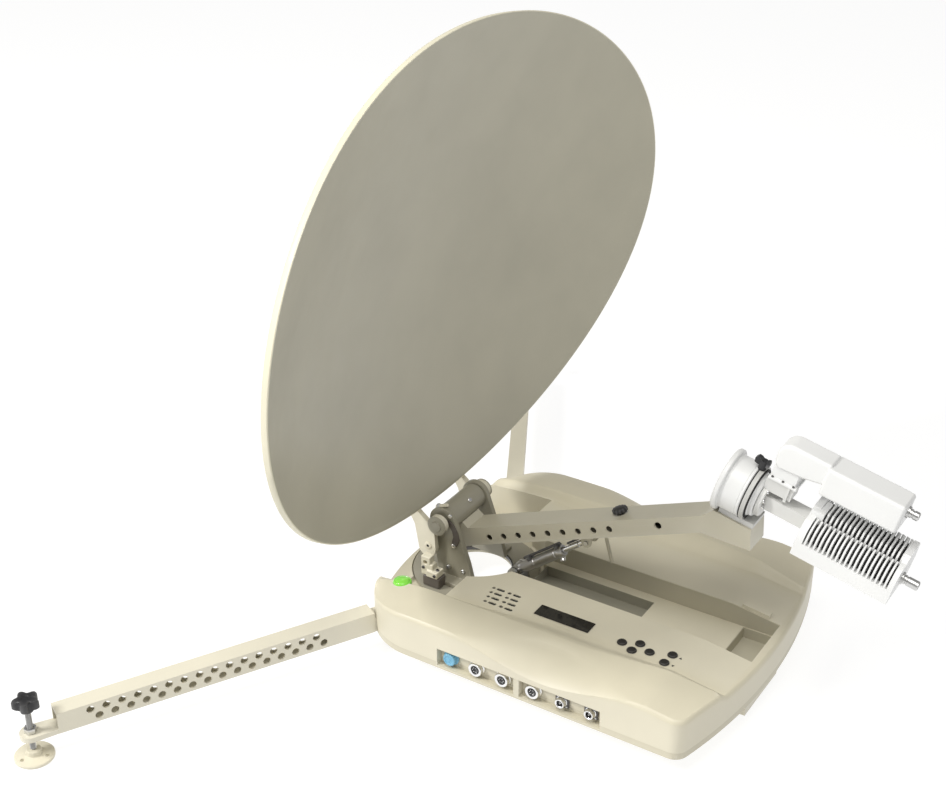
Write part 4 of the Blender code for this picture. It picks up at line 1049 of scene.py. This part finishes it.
def makeActuator(v):
    low, up = Vector(v["low"]), Vector(v["up"])
    length = (Vector(v["high"]) - low).length
    axis = (Vector(v["high"]) - low).normalized()
    where = axisPlace(low, axis)
    barrel = lathe("actuatorBarrel", v["barrel"], where, 48, "actuatorTube")
    eye = lathe("e", v["eye"], axisPlace(low, (1, 0, 0)), 40)
    joined = joinMeshes("actuatorBarrel", [barrel, eye])
    paint(joined, "actuatorTube")
    smooth(joined)
    place(joined, "actuator_barrel", "silver_metal", "actuator_body")
    rodProfile = [(0, 30), (3.9, 30), (4.5, 31), (4.5, length - 20), (3.6, length - 19.4),
                  (3.6, length - 17), (4.5, length - 16.4), (4.5, length - 9.8), (3.9, length - 9),
                  (0, length - 9)]
    rod = lathe("actuatorPlunger", rodProfile, where, 40, "chromeRing")
    place(rod, "actuator_plunger", "silver_metal", "actuator_rod")

    def beside(name, start, end, lift, radius, segments, material=None):
        ends = [low + axis * s + up * lift for s in (start, end)]
        return cylinder(name, *ends, radius, segments, material)

    rail = beside("actuatorRail", *v["rail"], 24, "blackRod")
    boolean(rail, [beside("clip", *clip, 32) for clip in v["clips"]], "UNION")
    soften(rail, 0.4, 2)
    place(rail, "actuator_barrel", "black_plastic")
    slide = beside("plungerRail", *v["slide"], 24, "blackRod")
    place(slide, "actuator_plunger", "black_plastic")
    nubPlace = axisPlace(low + axis * v["nubAt"] - up * v["nubDrop"], v["nubAxis"])
    nub = lathe("actuatorNub", v["nub"], nubPlace, 32, "chromeRing")
    place(nub, "actuator_barrel", "chrome_metal")


makeActuator(actuator)
print("yoke and actuator made")

# boom

feed = {"y": 56.0, "z": 305.0, "tilt": 13.5}


# u across, v up and w outward along the horn's axis, from the middle of its mouth
def feedPlace(v):
    t = math.radians(v["tilt"])
    matrix = Matrix.Identity(4)
    matrix.col[0] = (-1.0, 0.0, 0.0, 0.0)
    matrix.col[1] = (0.0, -math.sin(t), math.cos(t), 0.0)
    matrix.col[2] = (0.0, -math.cos(t), -math.sin(t), 0.0)
    matrix.col[3] = (0.0, v["y"] * mm, v["z"] * mm, 1.0)
    return matrix


feedFrame = feedPlace(feed)
# outline runs along w and v of the feed, extrusion across it
feedSide = feedFrame @ Matrix(((0, 0, 1, 0), (0, 1, 0, 0), (1, 0, 0, 0), (0, 0, 0, 1)))


def feedPoint(u, v, w):
    return tuple(feedFrame @ (Vector((u, v, w)) * mm) / mm)


boomForm = {
    "half": 21.0, "wall": 2.5, "topZ": 106.9, "lowZ": 78.0, "topSlope": 0.395, "lowSlope": 0.406,
    "knee": 76.0, "behind": 2.0, "shoulderZ": 124.0, "shoulder": (430.0, 421.0),
    "nose": (8.0, 225.0), "hollowNose": ((12.0, 246.0), (11.0, 227.5)),
    "saddle": (-38.8, (4.0, 57.0)), "hornRadius": 43.5, "tubeRadius": 18.3, "holes": 9,
    "holeRadius": 4.6, "first": (386.0, 114.0), "last": (203.0, 190.0), "endHole": (134, 219),
    "endHoleRadius": 5.0, "lug": (241, 150), "lugRadius": 7.5, "lugX": (8, 11), "lugBore": 3.3,
    "lap": 1.2, "catch": (13, 228), "catchTip": (13, 213, 116), "catchRadius": 2.5,
    "grooveW": (-2.5, 9.5), "tubeReach": 30, "holeReach": 25, "endHoleX": (-25, -8), "lugReach": 20,
}


def boomTop(y):
    return boomForm["topZ"] + (tilt["y"] - y) * boomForm["topSlope"]


def boomLow(y):
    return boomForm["lowZ"] + (tilt["y"] - y) * boomForm["lowSlope"]


# from the tilt shaft along the top to the tip, and back along the underside
def boomOutline(rear, inset, rise, tip):
    knee = boomForm["knee"]
    under = [(y, boomLow(y) + inset) for y in (knee, rear)]
    return rise + [(knee, boomTop(knee) - inset)] + tip + under


def makeBoom(v):
    half, lap = v["half"], v["lap"]
    y, z = tilt["y"], tilt["z"]
    seatV, seatW = v["saddle"]
    seat = [feedPoint(0, seatV, w)[1:] for w in seatW]
    rear = y + v["behind"]
    flatEnd, slopeEnd = v["shoulder"]
    shoulder = [(rear, v["shoulderZ"]), (flatEnd, v["shoulderZ"]), (slopeEnd, boomTop(slopeEnd))]
    outline = boomOutline(rear, 0.0, shoulder, seat + [v["nose"]])
    beam = prism("boomBeam", outline, -half, half, sideways, "boomPaint")
    inner = half - v["wall"]
    rise = [(slopeEnd, boomTop(slopeEnd) - v["wall"])]
    hollow = boomOutline(slopeEnd, v["wall"], rise, list(v["hollowNose"]))
    groove = cylinder("g", *[feedPoint(0, 0, w) for w in v["grooveW"]], v["hornRadius"], 72)
    reach = v["tubeReach"]
    tube = cylinder("t", (-reach, y, z), (reach, y, z), v["tubeRadius"], 64)
    boolean(beam, [prism("i", hollow, -inner, inner, sideways), tube, groove])
    holes = []
    reach = v["holeReach"]
    for i in range(v["holes"]):
        t = i / (v["holes"] - 1)
        hy = v["first"][0] + (v["last"][0] - v["first"][0]) * t
        hz = v["first"][1] + (v["last"][1] - v["first"][1]) * t
        holes.append(cylinder("h", (-reach, hy, hz), (reach, hy, hz), v["holeRadius"], 28))
    start, end = [(x, *v["endHole"]) for x in v["endHoleX"]]
    holes.append(cylinder("h", start, end, v["endHoleRadius"], 28))
    boolean(beam, [joinMeshes("holes", holes)])
    lugY, lugZ = v["lug"]
    lug = arc((lugY, lugZ), v["lugRadius"], 180, 360, 24)
    lug += [(end, boomLow(end) + lap) for end in (lugY + v["lugRadius"], lugY - v["lugRadius"])]
    extra = [prism("lug", lug, *sorted(s * x for x in v["lugX"]), sideways) for s in (-1, 1)]
    catchX, catchY = v["catch"]
    root = (catchX, catchY, boomLow(catchY) + lap)
    extra.append(cylinder("catch", root, v["catchTip"], v["catchRadius"], 20))
    boolean(beam, extra, "UNION")
    reach = v["lugReach"]
    boolean(beam, [cylinder("b", (-reach, lugY, lugZ), (reach, lugY, lugZ), v["lugBore"], 24)])
    soften(beam, 1.0, 3, 42.0, 30.0)
    place(beam, "antenna", "olive_paint", "boom")


makeBoom(boomForm)
print("boom made")

boomKnob = {
    "y": 197.0, "seat": 0.3, "grips": 12, "gripDepth": 0.45, "gripFrom": 8.8,
    "profile": ((0, 0), (5, 0), (5, 1.6), (9.4, 2.0), (10.0, 3.0), (10.0, 6.4), (9.0, 7.8),
                (6.4, 8.6), (0, 8.8)),
}


def boomNormal(y, height):
    lean = math.atan(boomForm["topSlope"])
    return Vector((0, y + height * math.sin(lean), boomTop(y) + height * math.cos(lean)))


def makeBoomKnob(v):
    base = boomNormal(v["y"], v["seat"])
    up = boomNormal(v["y"], 10.0) - base

    def gripped(a, r, h):
        return v["gripDepth"] * math.cos(v["grips"] * a) if r > v["gripFrom"] else 0.0

    knob = lathe("boomThumbKnob", v["profile"], axisPlace(base, up), 96, "blackKnob", gripped)
    place(knob, "antenna", "black_plastic", "boom_knob")


makeBoomKnob(boomKnob)

# reflector and its carrier

# rows are share of the full width and distance behind the mirror face
dish = {
    "halfWidth": 458.5, "halfHeight": 324.5, "focal": 471.0, "offset": 244.0, "beam": 10.6,
    "focusY": 27.3, "focusZ": 315.1, "thick": 3.0, "segments": 160,
    "face": (0.04, 0.12, 0.22, 0.33, 0.44, 0.55, 0.66, 0.76, 0.85, 0.92, 0.962),
    "bead": ((0.972, 0.15), (0.978, 0.15), (0.986, -0.2), (0.9955, 0.0)),
    "roll": ((0.9985, 0.5), (1.0, 1.6), (1.0, 9.4), (0.9985, 10.0), (0.995, 10.0), (0.9945, 4.6),
             (0.99, 3.4)),
    "back": (0.97, 0.9, 0.8, 0.68, 0.55, 0.42, 0.3, 0.18, 0.06),
}


def dishPoint(v, x, height, back):
    beam = math.radians(v["beam"])
    depth = (x * x + height * height) / (4 * v["focal"]) - v["focal"] - back
    return Vector((x, v["focusY"] + height * math.sin(beam) - depth * math.cos(beam),
                   v["focusZ"] + height * math.cos(beam) + depth * math.sin(beam)))


def dishRing(v, work, share, back):
    ring = []
    for i in range(v["segments"]):
        a = 2 * math.pi * i / v["segments"]
        x = v["halfWidth"] * share * math.cos(a)
        height = v["offset"] + v["halfHeight"] * share * math.sin(a)
        ring.append(work.verts.new(dishPoint(v, x, height, back) * mm))
    return ring


def closeRing(v, work, ring, back):
    hub = work.verts.new(dishPoint(v, 0, v["offset"], back) * mm)
    for i in range(len(ring)):
        work.faces.new((hub, ring[i], ring[(i + 1) % len(ring)]))


def makeReflector(v):
    work = bmesh.new()
    front = [dishRing(v, work, share, 0.0) for share in v["face"]]
    front += [dishRing(v, work, share, back) for share, back in v["bead"]]
    skinRings(work, front)
    closeRing(v, work, front[0], 0.0)
    faceCount = len(work.faces)
    rear = [front[-1]] + [dishRing(v, work, share, back) for share, back in v["roll"]]
    rear += [dishRing(v, work, share, v["thick"]) for share in v["back"]]
    skinRings(work, rear)
    closeRing(v, work, rear[-1], v["thick"])
    work.faces.ensure_lookup_table()
    for i, face in enumerate(work.faces):
        face.material_index = 0 if i < faceCount else 1
    shell = fromBmesh(work, "dishShell", "dishPaint")
    # rim roll and back take the lighter finish, partly cream paint of the back and partly a painted
    # highlight on the lip
    paint(shell, "rimPaintAndHighlight")
    smooth(shell, 40)
    place(shell, "antenna", "dish_grey", "reflector")


makeReflector(dish)
for label in ("near", "far"):
    dress("strut_" + label, "creamPaint", 1.0)
dress("reflector_crossbar", "creamPaint", 1.2)
print("reflector made")

# feed: horn, wave guides, low-noise block and transmitter

horn = {
    "profile": ((30.2, 0.6), (31.4, 0), (39.6, 0), (41, 1.4), (41, 5.6), (39.8, 7), (37.2, 7.2),
                (36, 8.4), (36, 30.5), (35.6, 31), (35.6, 31.8), (36, 32.3), (36, 34.2), (35, 35.2),
                (30, 35.2), (30, 43.2), (29.2, 44.2), (28.2, 44.4), (27.6, 45), (27.6, 48.6),
                (26.4, 50), (15.0, 50), (15.0, 42), (30.2, 0.6)),
    "bands": (("hornGrooveShadowFront", 35.2, 35.3), ("hornGrooveShadowRear", 33.6, 42.6)), "bandInner": 30.05,
    "bandWide": 1.3, "boltW": 57, "boltSize": (2.5, 2.4),
    "bolts": ((13, 18.5), (13, -4.5), (-13, 18.5), (-13, -4.5), (17.5, 7.0), (-17.5, 7.0)),
}


def makeHorn(v):
    shell = lathe("hornShell", v["profile"], feedFrame, 112, "whitePaint")
    place(shell, "feed", "white_paint", "feed_horn")
    # near-black rings in the two grooves, painted shadow of the gaps
    inner = v["bandInner"]
    for name, radius, start in v["bands"]:
        end = start + v["bandWide"]
        ring = [(inner, start), (radius, start), (radius, end), (inner, end), (inner, start)]
        band = lathe(name, ring, feedFrame, 96, "finShadow")
        place(band, "feed", "black_plastic")
    axis = tuple(feedFrame.col[2][:3])
    bolts = [feedPoint(bu, bv, v["boltW"]) for bu, bv in v["bolts"]]
    heads = [boltHead(at, axis, *v["boltSize"]) for at in bolts]
    boltSet("flangeBolts", heads, "feed", "chromeRing", "chrome_metal")


# each run is its low and its high corner in the feed's frame
waveGuide = {
    "flange": ((0, 50.3), (23.2, 50.3), (24, 51), (24, 56.2), (23.2, 57), (0, 57)),
    "runs": (((-11, -8, 56), (11, 11, 113.7)), ((-13, -10, 110.5), (13, 13, 113.7)),
             ((-12, 20, 50.3), (12, 38.4, 86)), ((-14.5, 17.5, 78), (14.5, 38.4, 81.5))),
}


def makeWaveGuide(v):
    guide = lathe("guideFlange", v["flange"], feedFrame, 64, "guidePaint")
    boolean(guide, [block("run", low, high, feedFrame) for low, high in v["runs"]], "UNION")
    guide.name = "guideRuns"
    soften(guide, 0.8, 2)
    place(guide, "feed", "white_paint", "wave_guide")


elbow = {
    "rear": ((58, 57), (52, 63)), "bend": (69, 77.5), "bendRadius": 18,
    "front": ((119, 95.5), (119, 66), (91, 60)), "half": 16.5,
    "neck": ((-13, 38.7, 53), (13, 60, 86)), "neckFoot": ((-15.5, 38.7, 51), (15.5, 42.5, 89)),
    "boltU": (-14, 14), "boltV": 42.5, "boltW": (56, 70, 84), "boltSize": (1.6, 1.4),
}


def makeElbow(v):
    outline = list(v["rear"]) + arc(v["bend"], v["bendRadius"], 180, 90, 14) + list(v["front"])
    body = prism("lnbElbow", outline, -v["half"], v["half"], feedSide, "whitePaint")
    soften(body, 5.0, 5, 30, 40)
    place(body, "feed", "white_paint", "lnb_elbow")
    neck = block("elbowNeck", *v["neck"], feedFrame, "whitePaint")
    boolean(neck, [block("f", *v["neckFoot"], feedFrame)], "UNION")
    soften(neck, 1.0, 2)
    place(neck, "feed", "white_paint")
    up = tuple(feedFrame.col[1][:3])
    bolts = [feedPoint(u, v["boltV"], w) for u in v["boltU"] for w in v["boltW"]]
    heads = [boltHead(at, up, *v["boltSize"]) for at in bolts]
    boltSet("elbowBolts", heads, "feed", "darkPlate", "silver_metal")


# cable plug at the end of a box, r is its radius
def makePlug(name, u, v, start, end, r):
    profile = [(0, start), (r + 2, start), (r + 2, start + 3), (r, start + 3.6), (r, start + 6),
               (r - 0.8, start + 6.5), (r - 0.8, start + 8), (r, start + 8.5), (r, end - 1),
               (r - 1, end), (r - 2, end), (r - 2, end - 5), (0, end - 5)]
    where = feedFrame @ Matrix.Translation((u * mm, v * mm, 0))
    plug = lathe(name, profile, where, 40, "brushedSteel")
    return place(plug, "feed", "chrome_metal")


lnb = {
    "half": 20.5, "low": 53.5, "top": 93.2, "start": 114.0, "end": 214.5, "plugV": 78,
    "plugLong": 14.5, "plugRadius": 5.5,
}


def makeLnb(v):
    low, high = (-v["half"], v["low"], v["start"]), (v["half"], v["top"], v["end"])
    case = block("lnbCase", low, high, feedFrame, "whitePaint")
    soften(case, 4.5, 5, 40, 40)
    place(case, "feed", "white_paint", "lnb_box")
    makePlug("lnbPlug", 0, v["plugV"], v["end"] - 0.5, v["end"] + v["plugLong"], v["plugRadius"])


# transmitter: flat case with round-shouldered ends, and fins over a core painted black as the deep
# shadow between them
buc = {
    "half": 39.0, "low": -27.0, "bandTop": -7.0, "start": 114.0, "end": 240.0,
    "endPlates": (123.0, 233.6), "plateLow": -12.0, "coreInset": 9.5, "coreLow": -9.0,
    "coreFront": 4.0, "coreRear": 3.0, "shoulder": ((-15, 12, 114.5), (15, 28.6, 131)),
    "fins": 19, "firstFin": 126.4, "pitch": 5.76, "finWidth": 2.6, "bend": (15.0, -3.0),
    "bendRadius": 24.0, "finRadius": 23.6, "finFoot": (38.6, -9.0),
    "nearFin": ((14.5, 8.0), (26.0, -3.0), (27.0, -9.0)),
    "farFin": ((-27.0, -9.0), (-26.0, 2.0), (-20.0, 20.0), (-26.0, 29.6), (-31.6, 23.8),
               (-38.6, 4.0), (-38.6, -9.0)),
    "topFin": ((12.8, 12.0), (12.8, 22.0), (8.0, 28.6), (-25.4, 29.6), (-19.5, 19.6),
               (-14.0, 12.0)),
    "plugV": -9, "plugLong": 22.0, "plugRadius": 6.0,
}


def bucProfile(v, inset, low):
    half = v["half"]
    near = [(half - inset, low)] + arc(v["bend"], v["bendRadius"] - inset, 0, 90, 14)
    top = [(7.0, 29.0 - inset), (-26.0, 30.0 - inset)]
    return near + top + [(inset - 32.0, 24.0), (inset - half, 4.0), (inset - half, low)]


def finRack(v, label, outline, steps):
    thick = v["finWidth"] / 2
    fins = []
    for step in steps:
        w = v["firstFin"] + v["pitch"] * step
        fins.append(prism("fin", outline, w - thick, w + thick, feedFrame))
    rack = joinMeshes("bucFins_" + label, fins)
    paint(rack, "whitePaint")
    soften(rack, 0.4, 1)
    place(rack, "feed", "white_paint")


def makeBuc(v):
    start, end = v["start"], v["end"]
    ends = (start + v["coreFront"], end - v["coreRear"])
    # the core is near-black, painted shadow of the deep gaps between the fins
    coreOutline = bucProfile(v, v["coreInset"], v["coreLow"])
    core = prism("bucCoreShadow", coreOutline, *ends, feedFrame, "finShadow")
    place(core, "feed", "black_plastic")
    low, high = (-v["half"], v["low"], start), (v["half"], v["bandTop"], end)
    case = block("bucCase", low, high, feedFrame, "whitePaint")
    plates = ((start, v["endPlates"][0]), (v["endPlates"][1], end))
    plateOutline = bucProfile(v, 0.0, v["plateLow"])
    extra = [prism("end", plateOutline, w0, w1, feedFrame) for w0, w1 in plates]
    extra.append(block("shoulder", *v["shoulder"], feedFrame))
    boolean(case, extra, "UNION")
    soften(case, 2.4, 4, 40, 35)
    place(case, "feed", "white_paint", "buc_body")
    nearFin = [v["finFoot"]] + arc(v["bend"], v["finRadius"], 0, 88, 14) + list(v["nearFin"])
    finRack(v, "near", nearFin, range(v["fins"]))
    finRack(v, "far", v["farFin"], range(v["fins"]))
    finRack(v, "top", v["topFin"], [i + 0.4 for i in range(1, v["fins"])])
    makePlug("bucPlug", 0, v["plugV"], end - 0.5, end + v["plugLong"], v["plugRadius"])


makeHorn(horn)
makeWaveGuide(waveGuide)
makeElbow(elbow)
makeLnb(lnb)
makeBuc(buc)
dress("feed_saddle", "greyPlate", 0.6)

clampKnob = {
    "wings": ((26.5, 43), (26, 49), (29, 52.5), (33, 52), (36, 49), (40, 48.6), (42, 51),
              (45, 51.6), (46, 48), (45.6, 43.5), (42, 41.6), (31, 41.6)),
    "half": 3.2, "stem": ((0, 36.4, 37.5), (0, 49, 37.5)), "stemRadius": 5.2,
}


def makeClampKnob(v):
    wings = prism("clampWing", v["wings"], -v["half"], v["half"], feedSide, "blackKnob")
    low, high = [feedPoint(*p) for p in v["stem"]]
    boolean(wings, [cylinder("stem", low, high, v["stemRadius"], 32)], "UNION")
    soften(wings, 1.3, 4, 25, 40)
    place(wings, "antenna", "black_plastic", "feed_clamp_knob")


makeClampKnob(clampKnob)
print("feed made")

# floor and light

# the floor glows a little, so that it reads as the white ground of the photograph
studio = {
    "floor": (0.26, 0.26, 0.26), "roughness": 0.75, "glow": 0.82, "reach": 14, "drop": 0.0004,
    "world": 0.33, "worldColour": (1.0, 0.99, 0.97, 1.0),
}


def makeStudio(v):
    work = bmesh.new()
    reach = v["reach"]
    corners = ((-reach, -reach), (reach, -reach), (reach, reach), (-reach, reach))
    work.faces.new([work.verts.new((x, y, -v["drop"])) for x, y in corners])
    floor = fromBmesh(work, "studioFloor")
    material, _, shader = newMaterial("paleFloor")
    shader.inputs["Base Color"].default_value = (*v["floor"], 1.0)
    shader.inputs["Roughness"].default_value = v["roughness"]
    shader.inputs["Emission Color"].default_value = (1.0, 1.0, 1.0, 1.0)
    shader.inputs["Emission Strength"].default_value = v["glow"]
    floor.data.materials.append(material)
    world = bpy.data.worlds.new("studioWorld")
    world.use_nodes = True
    background = world.node_tree.nodes["Background"]
    background.inputs["Color"].default_value = v["worldColour"]
    background.inputs["Strength"].default_value = v["world"]
    bpy.context.scene.world = world


lamps = {
    "keyLamp": {
        "place": (-1.35, -0.2, 3.4), "size": 2.0, "watts": 66.0, "colour": (1.0, 0.985, 0.95),
    },
    "rearLamp": {
        "place": (-2.4, 2.4, 2.8), "size": 0.9, "watts": 112.0, "colour": (1.0, 0.99, 0.97),
    },
}
lampAim = (0.0, 0.3, 0.2)


def makeLamps():
    for name, v in lamps.items():
        data = bpy.data.lights.new(name, "AREA")
        data.energy = v["watts"]
        data.size = v["size"]
        data.color = v["colour"]
        lamp = bpy.data.objects.new(name, data)
        bpy.context.scene.collection.objects.link(lamp)
        lamp.location = v["place"]
        aim = Vector(lampAim) - lamp.location
        lamp.rotation_euler = aim.to_track_quat("-Z", "Y").to_euler()


makeStudio(studio)
makeLamps()
print("studio ready")
